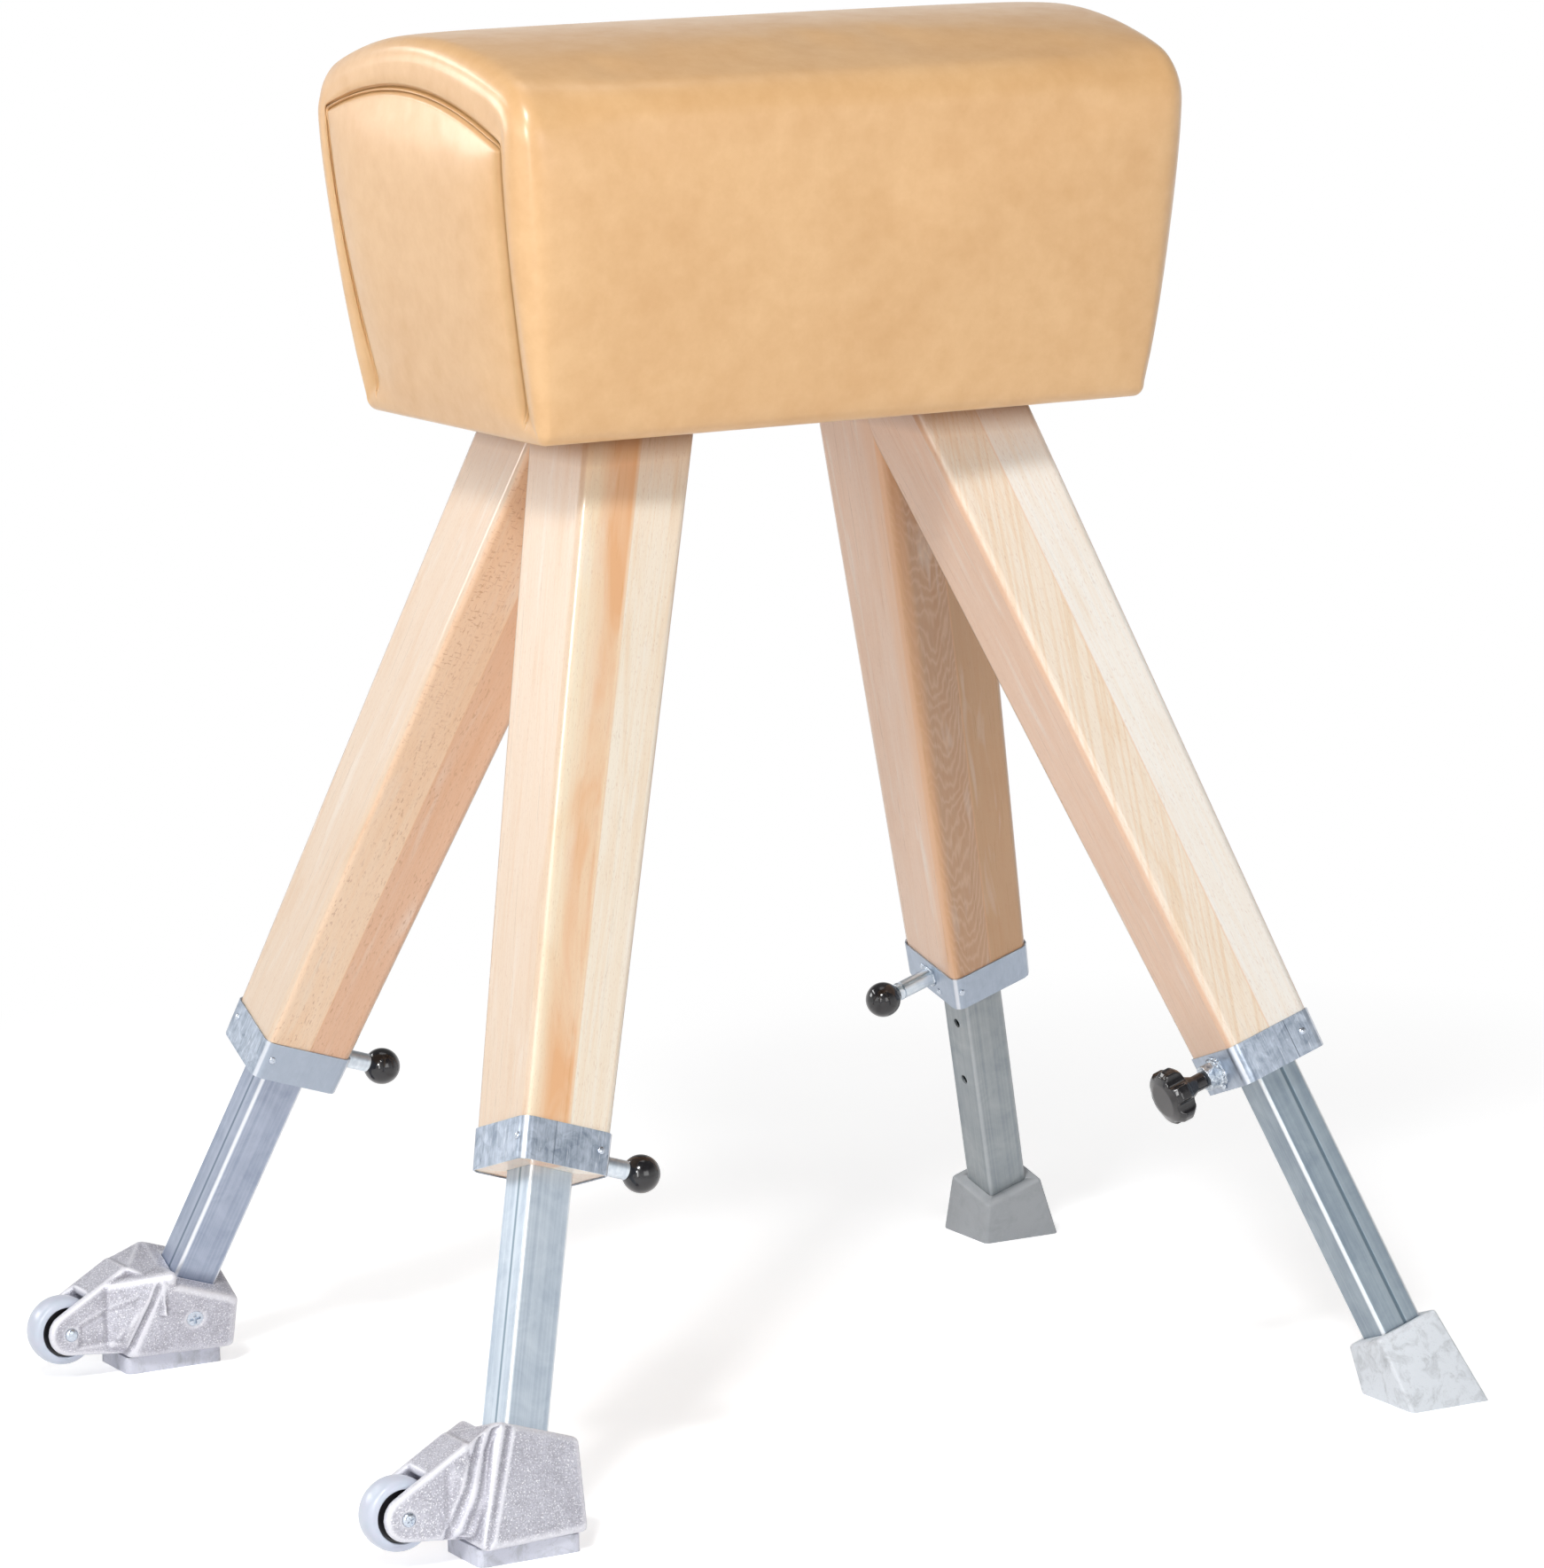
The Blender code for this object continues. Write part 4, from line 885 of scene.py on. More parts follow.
def half_section(inset, base_inset, fall=0.0):
    """Half the section, from the middle of the base up to the crest.

    Fall rounds the shoulder more.
    """
    (_, centre_z), lean = shoulder_centre(SHOULDER_RADIUS + fall)
    floor = BASE_Z + base_inset
    radius = max(LOWER_RADIUS - base_inset, 0.004)
    low_y = flank(floor + radius, BASE_HALF_WIDTH, HALF_WIDTH) - inset
    points = [((low_y - radius) * step / ACROSS_STEPS, floor) for step in range(ACROSS_STEPS)]
    for step in range(LOWER_STEPS + 1):
        angle = -math.pi / 2 + step * math.pi / 2 / LOWER_STEPS
        points.append((
            low_y - radius + radius * math.cos(angle), floor + radius + radius * math.sin(angle)))
    for step in range(1, FLANK_STEPS):
        height = floor + radius + (centre_z - floor - radius) * step / FLANK_STEPS
        points.append((flank(height, BASE_HALF_WIDTH, HALF_WIDTH) - inset, height))
    reach = max(SHOULDER_RADIUS + fall - inset, 0.008)
    inner_y = HALF_WIDTH - inset - reach
    inner_z = centre_z
    for step in range(SHOULDER_STEPS + 1):
        angle = (math.pi / 2 - lean) * step / SHOULDER_STEPS
        points.append((inner_y + reach * math.cos(angle), inner_z + reach * math.sin(angle)))
    start_y = points[-1][0]
    for step in range(1, DOME_STEPS + 1):
        share = 1 - step / DOME_STEPS
        points.append((start_y * share, dome_point(start_y * share, inset)[1]))
    return points


def full_ring(half):
    return half + [(-across, height) for across, height in reversed(half[1:-1])]


def seam_half():
    """Half the end panel's outline, point for point with the section."""
    corner_y, corner_z, apex_z = 0.1525, 1.031, 1.0585
    base_y, base_z = 0.129, BASE_Z + SEAM_FLOOR
    points = [(base_y * step / ACROSS_STEPS, base_z) for step in range(ACROSS_STEPS)]
    for step in range(SIDE_STEPS):
        share = step / SIDE_STEPS
        share = share - 0.06 * math.sin(math.tau * share)
        bow = 0.0030 * math.sin(math.pi * share)
        points.append((
            base_y + (corner_y - base_y) * share + bow, base_z + (corner_z - base_z) * share))
    steps = SHOULDER_STEPS // 2 + DOME_STEPS
    for step in range(steps + 1):
        share = 1 - step / steps
        points.append((corner_y * share, apex_z + (corner_z - apex_z) * share ** 2))
    return points


def seam_strength(height):
    """1 along the seam, 0 along the base, where there is none."""
    return smooth_step(height, BASE_Z + SEAM_FLOOR + 0.0001, BASE_Z + 0.0290)


# Across the seam: (offset, share of the seam's depth, share of the welt, darkness of the painted
# shade)
SEAM_PROFILE = (
    (-0.0048, 1.00, 0.0, 0.06), (-0.0034, 1.06, 0.0, 0.18), (-0.0022, 1.14, 0.0, 0.60),
    (-0.0012, 1.16, 0.0, 0.65), (-0.0006, 1.00, 0.8, 0.10), (0.0, 0.98, 1.0, 0.0),
    (0.0007, 1.00, 0.75, 0.08), (0.0013, 1.10, 0.0, 0.52), (0.0020, 1.04, 0.0, 0.40),
    (0.0030, 0.80, 0.0, 0.08), (0.0046, 0.50, 0.0, 0.0))
RIM_TURNS = 8
# Rows between the rim and the seam, as shares of the way
BAND_ROWS = (0.18, 0.36, 0.54, 0.70, 0.84)
# How far the base's edge is drawn in at the ends
BASE_GROWN = 0.006
# The arch rises a little towards +Y
SEAM_TILT = 0.045
# Where a seam's side turns into its arch
ARCH_Z = 1.026
# Share of the rim's radius that is left at the base
RIM_AT_BASE = 0.26


def end_rows(tones):
    """Rows from the rim's start to the edge of the end panel, as (ring, painted seam shade) pairs.

    Each ring point is (depth in from the end plane, across, height).
    """
    inset0 = tones.start_inset
    rim = tones.rim_radius
    rows = []
    radii = []
    for y, z in full_ring(half_section(inset0, 0.0)):
        height = min(1.0, max(0.0, (z - BASE_Z) / (1.035 - BASE_Z)))
        side = RIM_AT_BASE + (1 - RIM_AT_BASE) * min(1.0, height * 1.5)
        radii.append(rim * (side if z < 1.05 else 0.68 + 0.32 * abs(y) / HALF_WIDTH))
    count = len(radii)
    radii = [sum(radii[(at + step) % count] for step in range(-4, 5)) / 9 for at in range(count)]
    for step in range(RIM_TURNS + 1):
        angle = math.pi / 2 * step / RIM_TURNS
        grown, base_grown = rim * (1 - math.cos(angle)), BASE_GROWN * (1 - math.cos(angle))
        wide = full_ring(half_section(inset0 + grown, base_grown, END_FALL))
        slim = full_ring(half_section(inset0 + grown * 0.3, base_grown, END_FALL))
        ring = []
        for (y0, z0), (y1, z1), radius in zip(slim, wide, radii):
            share = max(0.0, (radius / rim - 0.3) / 0.7)
            ring.append((
                radius - radius * math.sin(angle), y0 + (y1 - y0) * share, z0 + (z1 - z0) * share))
        rows.append((ring, [0.0] * len(ring)))
    edge = rows[-1][0]
    seam = [(y, z + SEAM_TILT * y * min(1.0, max(0.0, (z - 0.95) / 0.07)))
            for y, z in full_ring(seam_half())]
    inward = []
    for index, (y, z) in enumerate(seam):
        ahead, behind = seam[(index + 1) % count], seam[index - 1]
        along_y, along_z = ahead[0] - behind[0], ahead[1] - behind[1]
        length = math.hypot(along_y, along_z)
        inward.append((-along_z / length, along_y / length))

    for share in BAND_ROWS:
        ring = []
        for (_, y0, z0), (y1, z1) in zip(edge, seam):
            firm = seam_strength(z1)
            dip = tones.seam_depth * firm * (0.55 * share + 0.45 * share ** 3)
            ring.append((dip, y0 + (y1 - y0) * share, z0 + (z1 - z0) * share))
        # Painted shade on the band, growing towards the seam
        fade = max(0.0, (share - 0.3) / 0.7) ** 1.4
        rows.append((
            ring, [fade * seam_strength(z) * (0.36 if z < 1.02 else 0.08) for _, z in seam]))
    for offset, depth_share, raised, dark in SEAM_PROFILE:
        ring, marks = [], []
        for index, (y, z) in enumerate(seam):
            firm = seam_strength(z)
            arch = min(1.0, max(0.0, (z - ARCH_Z) / 0.004))
            if offset < 0:
                _, y0, z0 = edge[index]
                length = math.hypot(y0 - y, z0 - z)
                move_y, move_z = (y - y0) / length * offset, (z - z0) / length * offset
            else:
                move_y, move_z = inward[index][0] * offset, inward[index][1] * offset
            if firm < 0.02:
                move_y, move_z = 0.0, offset * 0.12
            depth = tones.seam_depth * depth_share
            depth -= raised * tones.welt_height * (0.25 + 0.75 * arch)
            ring.append((depth * firm, y + move_y, z + move_z))
            # Painted shade beside the seam, stronger along its sides than under the arch
            side_shade = (1 - arch) * (0.32 if abs(offset) < 0.0025 else 0.16)
            painted_seam_shade = min(1.0, dark * (1.0 - 0.15 * (1 - arch)) + side_shade)
            marks.append(painted_seam_shade * firm)
        rows.append((ring, marks))
    return rows


def panel_grid(edge):
    """Fills the end panel between its base, sides and arch with a grid of points."""
    wide = 2 * ACROSS_STEPS
    tall = SIDE_STEPS
    count = len(edge)
    base = [edge[(index - ACROSS_STEPS) % count] for index in range(wide + 1)]
    right = [edge[ACROSS_STEPS + index] for index in range(tall + 1)]
    top = [edge[ACROSS_STEPS + tall + wide - index] for index in range(wide + 1)]
    left = [edge[(count - ACROSS_STEPS - index) % count] for index in range(tall + 1)]
    grid = []
    for row in range(tall + 1):
        v = row / tall
        line = []
        for column in range(wide + 1):
            u = column / wide
            point = (
                (1 - v) * np.array(base[column]) + v * np.array(top[column])
                + (1 - u) * np.array(left[row]) + u * np.array(right[row])
                - (1 - u) * (1 - v) * np.array(base[0]) - u * (1 - v) * np.array(base[wide])
                - (1 - u) * v * np.array(top[0]) - u * v * np.array(top[wide]))
            line.append(tuple(point))
        grid.append(line)
    return grid


def cushion_mesh(tones):
    """Closed form: barrel, rolled rims, drawn-in seams, end panels and turned-under hem."""
    rows = end_rows(tones)
    shape = bmesh.new()
    seam_shade = shape.verts.layers.float.new("seam_shade")
    pinned = shape.verts.layers.float.new("pinned")

    def end_x(height):
        return flank(height, BASE_HALF_LENGTH, HALF_LENGTH) - tones.start_inset * 0.4

    # A point's dark value is how much painted seam shade it gets
    def add(x, y, z, dark=0.0, pin=0.0):
        vertex = shape.verts.new((CENTRE_X + x, y, z))
        vertex[seam_shade] = dark
        vertex[pinned] = pin
        return vertex

    def end_columns(side, held_rows):
        """One end's rows as columns of vertices, the rows next to the panel held."""
        columns = []
        for order, (ring, marks) in list(enumerate(rows))[::side]:
            held = order >= len(rows) - held_rows
            columns.append([
                add(side * (end_x(z) - depth), y, z, mark, held * seam_strength(z))
                for (depth, y, z), mark in zip(ring, marks)])
        return columns

    columns = end_columns(-1, HELD_ROWS + 1)
    for step in range(1 - BARREL_STEPS, BARREL_STEPS):
        station = step / BARREL_STEPS
        fall = END_FALL * smooth_step(abs(station), 0.70, 1.0)
        barrel = full_ring(half_section(tones.start_inset, 0.0, fall))
        columns.append([add((end_x(z) - tones.rim_radius) * station, y, z) for y, z in barrel])
    columns += end_columns(1, HELD_ROWS)
    for first, second in zip(columns, columns[1:]):
        for index, vertex in enumerate(first):
            after = (index + 1) % len(first)
            shape.faces.new((vertex, first[after], second[after], second[index]))

    edge_row = rows[-1][0]
    grid = panel_grid(edge_row)
    wide, tall, count = 2 * ACROSS_STEPS, SIDE_STEPS, len(edge_row)
    for side, border in ((-1, columns[0]), (1, columns[-1])):
        points = []
        for row, line in enumerate(grid):
            kept = []
            for column, (depth, y, z) in enumerate(line):
                if row == 0:
                    kept.append(border[(column - ACROSS_STEPS) % count])
                elif row == tall:
                    kept.append(border[ACROSS_STEPS + tall + wide - column])
                elif column == 0:
                    kept.append(border[(count - ACROSS_STEPS - row) % count])
                elif column == wide:
                    kept.append(border[ACROSS_STEPS + row])
                else:
                    u, v = 2 * column / wide - 1, 2 * row / tall - 1
                    crown = tones.panel_crown * (1 - u ** 8) * (1 - abs(v) ** (3 if v > 0 else 1.7))
                    flat = (1 - abs(u) ** 6) * (1 - smooth_step(v, -1.0, -0.3))
                    kept.append(add(side * (end_x(z) - depth * (1 - flat) + crown), y, z))
            points.append(kept)
        for lower, upper in zip(points, points[1:]):
            for column in range(wide):
                corners = (lower[column], lower[column + 1], upper[column + 1], upper[column])
                shape.faces.new(corners if side > 0 else corners[::-1])
    bmesh.ops.recalc_face_normals(shape, faces=shape.faces[:])
    for vertex in shape.verts:
        if vertex.co.z < BASE_Z + 0.003:
            vertex[pinned] = 1.0
    return mesh_from(shape, "leather_body")


def swell(item, tones):
    """Blows the form up a little with cloth pressure, held along seams and base."""
    mesh = item.data
    rest = read(mesh.vertices, "co")
    pins = read(mesh.attributes["pinned"].data, "value", 1)
    group = item.vertex_groups.new(name="held")
    for index in np.nonzero(pins > 0)[0]:
        group.add([int(index)], float(pins[index]), "REPLACE")
    cloth = item.modifiers.new("padding", "CLOTH")
    use = cloth.settings
    use.quality = 6
    use.mass = 0.4
    use.tension_stiffness = 22.0
    use.compression_stiffness = 22.0
    use.shear_stiffness = 12.0
    use.bending_stiffness = 4.0
    use.use_pressure = True
    use.uniform_pressure_force = tones.pressure
    use.vertex_group_mass = "held"
    use.effector_weights.gravity = 0.0
    cloth.collision_settings.use_collision = False
    scene = bpy.context.scene
    for number in range(1, CLOTH_FRAMES + 1):
        scene.frame_set(number)
    graph = bpy.context.evaluated_depsgraph_get()
    moved = read(item.evaluated_get(graph).to_mesh().vertices, "co")
    item.evaluated_get(graph).to_mesh_clear()
    item.modifiers.remove(cloth)
    scene.frame_set(1)
    return rest, moved - rest


def settle(item, tones):
    """Gives the form its swollen shape, capped, with the panels fuller than the sides."""
    mesh = item.data
    rest, offset = swell(item, tones)
    size = np.linalg.norm(offset, axis=1)
    along, across, height = np.abs(rest[:, 0] - CENTRE_X), np.abs(rest[:, 1]), rest[:, 2]
    end = np.array([flank(z, BASE_HALF_LENGTH, HALF_LENGTH) for z in height])
    at_end = along > end - PANEL_MARGIN
    on_panel = np.where(at_end, np.clip((height - BASE_Z - 0.012) / 0.08, 0.0, 1.0), 0.0)
    shoulder = np.clip((along - 0.34) / 0.08, 0, 1) * np.clip((height - 0.80) / 0.15, 0, 1)
    shoulder *= np.clip((across - 0.11) / 0.04, 0, 1)
    cap = tones.puff * (1 + 0.9 * shoulder) * (1 - on_panel) + tones.panel_puff * on_panel
    over_base = np.clip((height - BASE_Z - 0.010) / 0.05, 0.0, 1.0)
    cap *= np.where(at_end, 0.35 + 0.65 * over_base, 1.0)
    factor = cap / (cap + size)
    new = rest + offset * factor[:, None]
    mesh.vertices.foreach_set("co", new.ravel())
    mesh.update()


def cut_hem(item):
    """Steps the base up inside the hem, where the leather stops and the board shows."""
    open_x = BASE_HALF_LENGTH - HEM_WIDTH
    open_y = BASE_HALF_WIDTH - HEM_WIDTH
    mesh = item.data
    for vertex in mesh.vertices:
        x, y, z = vertex.co
        if z < BASE_Z + 0.002:
            inside = min(open_x - abs(x - CENTRE_X), open_y - abs(y))
            rise = min(1.0, max(0.0, inside / HEM_STEP))
            vertex.co.z = z + (LEATHER + HEM_GAP) * rise
    mesh.update()


class BUCK_OT_cushion(Operator):
    """Make the padded leather body"""

    bl_idname = "buck.cushion"
    bl_label = "Leather body"

    def execute(self, context):
        tones = settings("buck_cushion")
        item = link("leather_body", cushion_mesh(tones))
        settle(item, tones)
        cut_hem(item)
        modifier = item.modifiers.new("fine", "SUBSURF")
        modifier.levels = modifier.render_levels = 1
        apply_all(item)
        item.data.shade_smooth()
        finish_piece(item, once("leather", leather_finish), "frame", ("leather_cover",))
        return {"FINISHED"}


# The padding shrinks to these shares, so that it stays inside the cover
FOAM_SHARE = (0.962, 0.975, 0.985)


class BUCK_OT_core(Operator):
    """Finish the board, the core and the padding inside the body"""

    bl_idname = "buck.core"
    bl_label = "Board and core"

    def execute(self, context):
        repaint("base_board", once("plywood", plywood_finish))
        repaint("core_frame", once("plywood", plywood_finish))
        item = link("foam_block", mesh_from(cad_copy("foam_padding"), "foam_block"))
        for vertex in item.data.vertices:
            x, y, z = vertex.co
            vertex.co = (
                CENTRE_X + (x - CENTRE_X) * FOAM_SHARE[0], y * FOAM_SHARE[1],
                BASE_Z + (z - BASE_Z) * FOAM_SHARE[2])
        smooth(item)
        finish_piece(item, once("foam", foam_finish), "frame", ("foam_padding",))
        for leg in LEGS:
            repaint(f"leg_bolt_{leg}", once("bolt_steel", steel_finish))
        return {"FINISHED"}


class BUCK_OT_legs(Operator):
    """Make the four beech legs"""

    bl_idname = "buck.legs"
    bl_label = "Legs"

    def execute(self, context):
        for leg in LEGS:
            dress(f"beech_leg_{leg}", f"leg_{leg}", wood_finish(leg), "frame", leg)
        return {"FINISHED"}


class BUCK_OT_sleeves(Operator):
    """Make the steel sleeves round the lower ends of the legs"""

    bl_idname = "buck.sleeves"
    bl_label = "Sleeves"

    def execute(self, context):
        for leg in LEGS:
            dress(f"sleeve_{leg}", f"ferrule_{leg}", sleeve_finish(leg), "frame", leg)
        return {"FINISHED"}


def rivet_tree(material):
    """Dome on each point, turned to the point's normal."""
    tree = bpy.data.node_groups.new("rivets", "GeometryNodeTree")
    for name, in_out, kind in (
            ("Points", "INPUT", "Geometry"), ("Radius", "INPUT", "Float"),
            ("Height", "INPUT", "Float"), ("Sides", "INPUT", "Int"),
            ("Rivets", "OUTPUT", "Geometry")):
        tree.interface.new_socket(name, in_out=in_out, socket_type=f"NodeSocket{kind}")
    graph = Graph(tree)
    source = graph.node("NodeGroupInput").outputs
    sphere = graph.node(
        "GeometryNodeMeshUVSphere", Segments=source["Sides"], Rings=10, Radius=source["Radius"])
    ratio = graph.maths("DIVIDE", source["Height"], source["Radius"])
    flat = graph.node("ShaderNodeCombineXYZ", X=1.0, Y=1.0, Z=ratio)
    shaped = graph.node(
        "GeometryNodeTransform", Geometry=sphere.outputs["Mesh"], Scale=flat.outputs[0])
    facing = graph.node(
        "GeometryNodeInputNamedAttribute", {"data_type": "FLOAT_VECTOR"}, Name="facing")
    align = graph.node(
        "FunctionNodeAlignRotationToVector", {"axis": "Z"}, Vector=facing.outputs["Attribute"])
    spread = graph.node(
        "GeometryNodeInstanceOnPoints", Points=source["Points"], Instance=shaped.outputs[0],
        Rotation=align.outputs[0])
    real = graph.node("GeometryNodeRealizeInstances", i0=spread.outputs[0])
    paint = graph.node("GeometryNodeSetMaterial", Geometry=real.outputs[0], Material=material)
    graph.node("NodeGroupOutput", Rivets=paint.outputs[0])
    return tree


# Rivets on each sleeve: (station, offset across, faced axis of the leg's frame, its sign)
FIRST, SECOND = 0, 1
RIVETS = {
    "front_left": (
        (0.5250, 0.0284, SECOND, -1), (0.5250, -0.0298, FIRST, -1), (0.5250, -0.0284, SECOND, 1)),
    "rear_left": (
        (0.5250, -0.0286, SECOND, -1), (0.5225, 0.0250, FIRST, -1), (0.5250, 0.0286, SECOND, 1)),
    "front_right": (
        (0.5250, 0.0244, SECOND, -1), (0.5250, 0.0280, FIRST, 1), (0.5250, -0.0244, SECOND, 1)),
    "rear_right": (
        (0.5250, -0.0330, SECOND, -1), (0.5210, 0.0095, FIRST, -1), (0.5360, -0.0123, FIRST, -1),
        (0.5250, 0.0280, FIRST, 1), (0.5250, 0.0290, SECOND, 1)),
}


class BUCK_OT_rivets(Operator):
    """Set the rivets into the sleeves"""

    bl_idname = "buck.rivets"
    bl_label = "Rivets"

    def execute(self, context):
        tones = settings("buck_metal")
        places, normals = [], []
        for leg, rivets in RIVETS.items():
            matrix = leg_matrix(leg)
            for station, offset, axis, sign in rivets:
                place = Vector((offset, offset, -station))
                place[axis] = sign * (leg_half(station) + FERRULE_WALL)
                places.append(tuple(matrix @ place))
                normals.append(matrix.col[axis].xyz * sign)
        mesh = bpy.data.meshes.new("rivets")
        mesh.from_pydata(places, [], [])
        attribute = mesh.attributes.new("facing", "FLOAT_VECTOR", "POINT")
        for index, normal in enumerate(normals):
            attribute.data[index].vector = normal
        item = link("sleeve_rivets", mesh)
        steel = once("bolt_steel", steel_finish)
        modifier = item.modifiers.new("rivets", "NODES")
        modifier.node_group = rivet_tree(steel)
        values = {
            "Radius": tones.rivet_radius, "Height": tones.rivet_height, "Sides": tones.rivet_sides}
        for socket in modifier.node_group.interface.items_tree:
            if socket.in_out == "INPUT" and socket.name in values:
                modifier[socket.identifier] = values[socket.name]
        apply_all(item)
        item.data.shade_smooth()
        finish_piece(item, steel, "frame", ())
        return {"FINISHED"}


class BUCK_OT_tubes(Operator):
    """Make the square tubes with their top plugs"""

    bl_idname = "buck.tubes"
    bl_label = "Tubes"

    def execute(self, context):
        for leg in LEGS:
            dress(
                f"square_tube_{leg}", f"tube_{leg}", once(f"tube_{leg}", tube_finish),
                f"extension_{leg}", leg, turned=leg == CLAMP_LEG)
            repaint(f"tube_plug_{leg}", once("black_plastic", plastic_finish))
        return {"FINISHED"}


def turned_piece(
        name, profile, matrix, material, body, node, leg=None, segments=48, angle=32.0):
    """Piece turned from a profile, which stands for a node."""
    item = link(name, mesh_from(lathe(profile, matrix, segments), name))
    if leg:
        add_grain(item.data, leg)
    smooth(item, angle)
    return finish_piece(item, material, body, (node,))


def weld_bead(name, leg, matrix, radius, height, thickness, rough, seed):
    """Uneven ring of weld metal round a barrel or boss."""
    shape = bmesh.new()
    around, section = 56, 10
    rings = []
    for step in range(around):
        angle = math.tau * step / around
        spot = Vector((math.cos(angle), math.sin(angle), seed))
        swell_here = 1.0 + rough * noise.noise(spot * 3.1) + rough * 0.6 * noise.noise(spot * 9.0)
        ring = []
        for turn in range(section):
            lean = math.tau * turn / section
            wide = thickness * max(0.35, swell_here)
            reach = radius + wide * math.cos(lean)
            rise = height + wide * 0.8 * math.sin(lean)
            ring.append(shape.verts.new(
                matrix @ Vector((reach * math.cos(angle), reach * math.sin(angle), rise))))
        rings.append(ring)
    for index, ring in enumerate(rings):
        after = rings[(index + 1) % around]
        for turn in range(section):
            following = (turn + 1) % section
            shape.faces.new((ring[turn], after[turn], after[following], ring[following]))
    bmesh.ops.recalc_face_normals(shape, faces=shape.faces[:])
    item = link(name, mesh_from(shape, name))
    item.data.shade_smooth()
    add_grain(item.data, leg)
    finish_piece(item, once("weld_metal", weld_finish), "frame", ())


class BUCK_OT_plungers(Operator):
    """Make the spring plungers with their ball knobs"""

    bl_idname = "buck.plungers"
    bl_label = "Spring plungers"

    def execute(self, context):
        steel = once("bolt_steel", steel_finish)
        for index, leg in enumerate(PLUNGER_LEGS):
            place = inward_matrix(leg, PLUNGER_STATION)
            base = leg_half(PLUNGER_STATION) + FERRULE_WALL
            end, outer, bore, pin, lip = 0.0743, 0.0075, 0.0056, 0.0043, 0.0006
            profile = [(bore, base), (outer, base), (outer, end - 0.0060)]
            if leg == "rear_right":
                profile += [(outer - 0.0012, end - 0.0054), (outer - 0.0012, end - 0.0044),
                            (outer + 0.0003, end - 0.0038)]
            profile += [(outer, end - lip), (outer - lip, end), (pin, end), (pin, end - 0.003),
                        (bore, end - 0.003)]
            turned_piece(
                f"barrel_{leg}", profile, place, once("tube_zinc", tube_finish), "frame",
                f"plunger_barrel_{leg}", leg)
            weld_bead(f"weld_{leg}", leg, place, outer + 0.0004, base + 0.0004, 0.0016, 0.5, index)
            repaint(f"plunger_pin_{leg}", steel)
            radius, centre = 0.015, 0.088
            ball = []
            for step in range(25):
                lean = math.pi * step / 24
                ball.append((radius * math.sin(lean), centre - radius * math.cos(lean)))
            mouth = 0.0045
            start = [point for point in ball[1:-1] if point[0] > mouth or point[1] > centre]
            sink = centre - 0.0015
            low = centre - math.sqrt(radius ** 2 - mouth ** 2)
            profile = [(0.0, sink), (mouth, sink), (mouth, low + 0.0004), (mouth + 0.0003, low)]
            profile += start[1:] + [(0.0, centre + radius)]
            turned_piece(
                f"ball_{leg}", profile, place, once("black_plastic", plastic_finish),
                f"plunger_{leg}", f"ball_knob_{leg}", segments=64)
        return {"FINISHED"}


class BUCK_OT_clamp(Operator):
    """Make the clamp's boss, weld, screw and star knob"""

    bl_idname = "buck.clamp"
    bl_label = "Clamp"

    def execute(self, context):
        place = inward_matrix(CLAMP_LEG, PLUNGER_STATION)
        base = leg_half(PLUNGER_STATION) + FERRULE_WALL
        item = link("clamp_nut", mesh_from(cad_copy("clamp_boss"), "clamp_nut"))
        add_grain(item.data, CLAMP_LEG)
        soften(item, 0.0006)
        smooth(item)
        finish_piece(item, once("weld_metal", weld_finish), "frame", ("clamp_boss",))
        beads = ((0.0112, 0.0004, 0.0026), (0.0098, 0.0026, 0.0022))
        for index, (radius, height, thick) in enumerate(beads):
            weld_bead(
                f"clamp_weld_{index}", CLAMP_LEG, place, radius, base + height, thick, 1.1,
                5.0 + index)
        repaint("clamp_screw", once("bolt_steel", steel_finish))
        knob = rub(link("star_grip", mesh_from(cad_copy("star_knob"), "star_grip")), 6, 0.0007)
        knob.data.shade_smooth()
        finish_piece(
            knob, once("black_plastic", plastic_finish), "clamp_knob", ("star_knob",))
        return {"FINISHED"}


def hull(points):
    shape = bmesh.new()
    for point in points:
        shape.verts.new(point)
    result = bmesh.ops.convex_hull(shape, input=shape.verts[:])
    unused = [item for item in result["geom_interior"] if isinstance(item, bmesh.types.BMVert)]
    bmesh.ops.delete(shape, geom=unused, context="VERTS")
    bmesh.ops.recalc_face_normals(shape, faces=shape.faces[:])
    return shape


# Web of a casting: its corner on the block, its root on the fork, and its thickness
WEB_CORNER = (0.0345, -0.7425)
WEB_ROOT = (0.4400, 0.0212, 0.0900)
WEB_DROP = (0.004, 0.030)


def web_points(leg):
    """Fills the step between the fork's top and the block's outer top corners."""
    side_x, side_y = LEGS[leg]
    place = leg_matrix(leg)
    points = []
    for side in (-1, 1):
        half, station = WEB_CORNER
        corner = place @ Vector((side_x * half, side * half, station))
        out, half, height = WEB_ROOT
        root = Vector((CENTRE_X + side_x * out, side_y * WHEEL[1] + side * half, height))
        for point in (corner, root):
            points += [point, point - Vector((side_x * WEB_DROP[0], 0.0, WEB_DROP[1]))]
    return points


# Height over the surroundings, from a deep groove's to a sharp ridge's
FULL_BEND = 0.00012


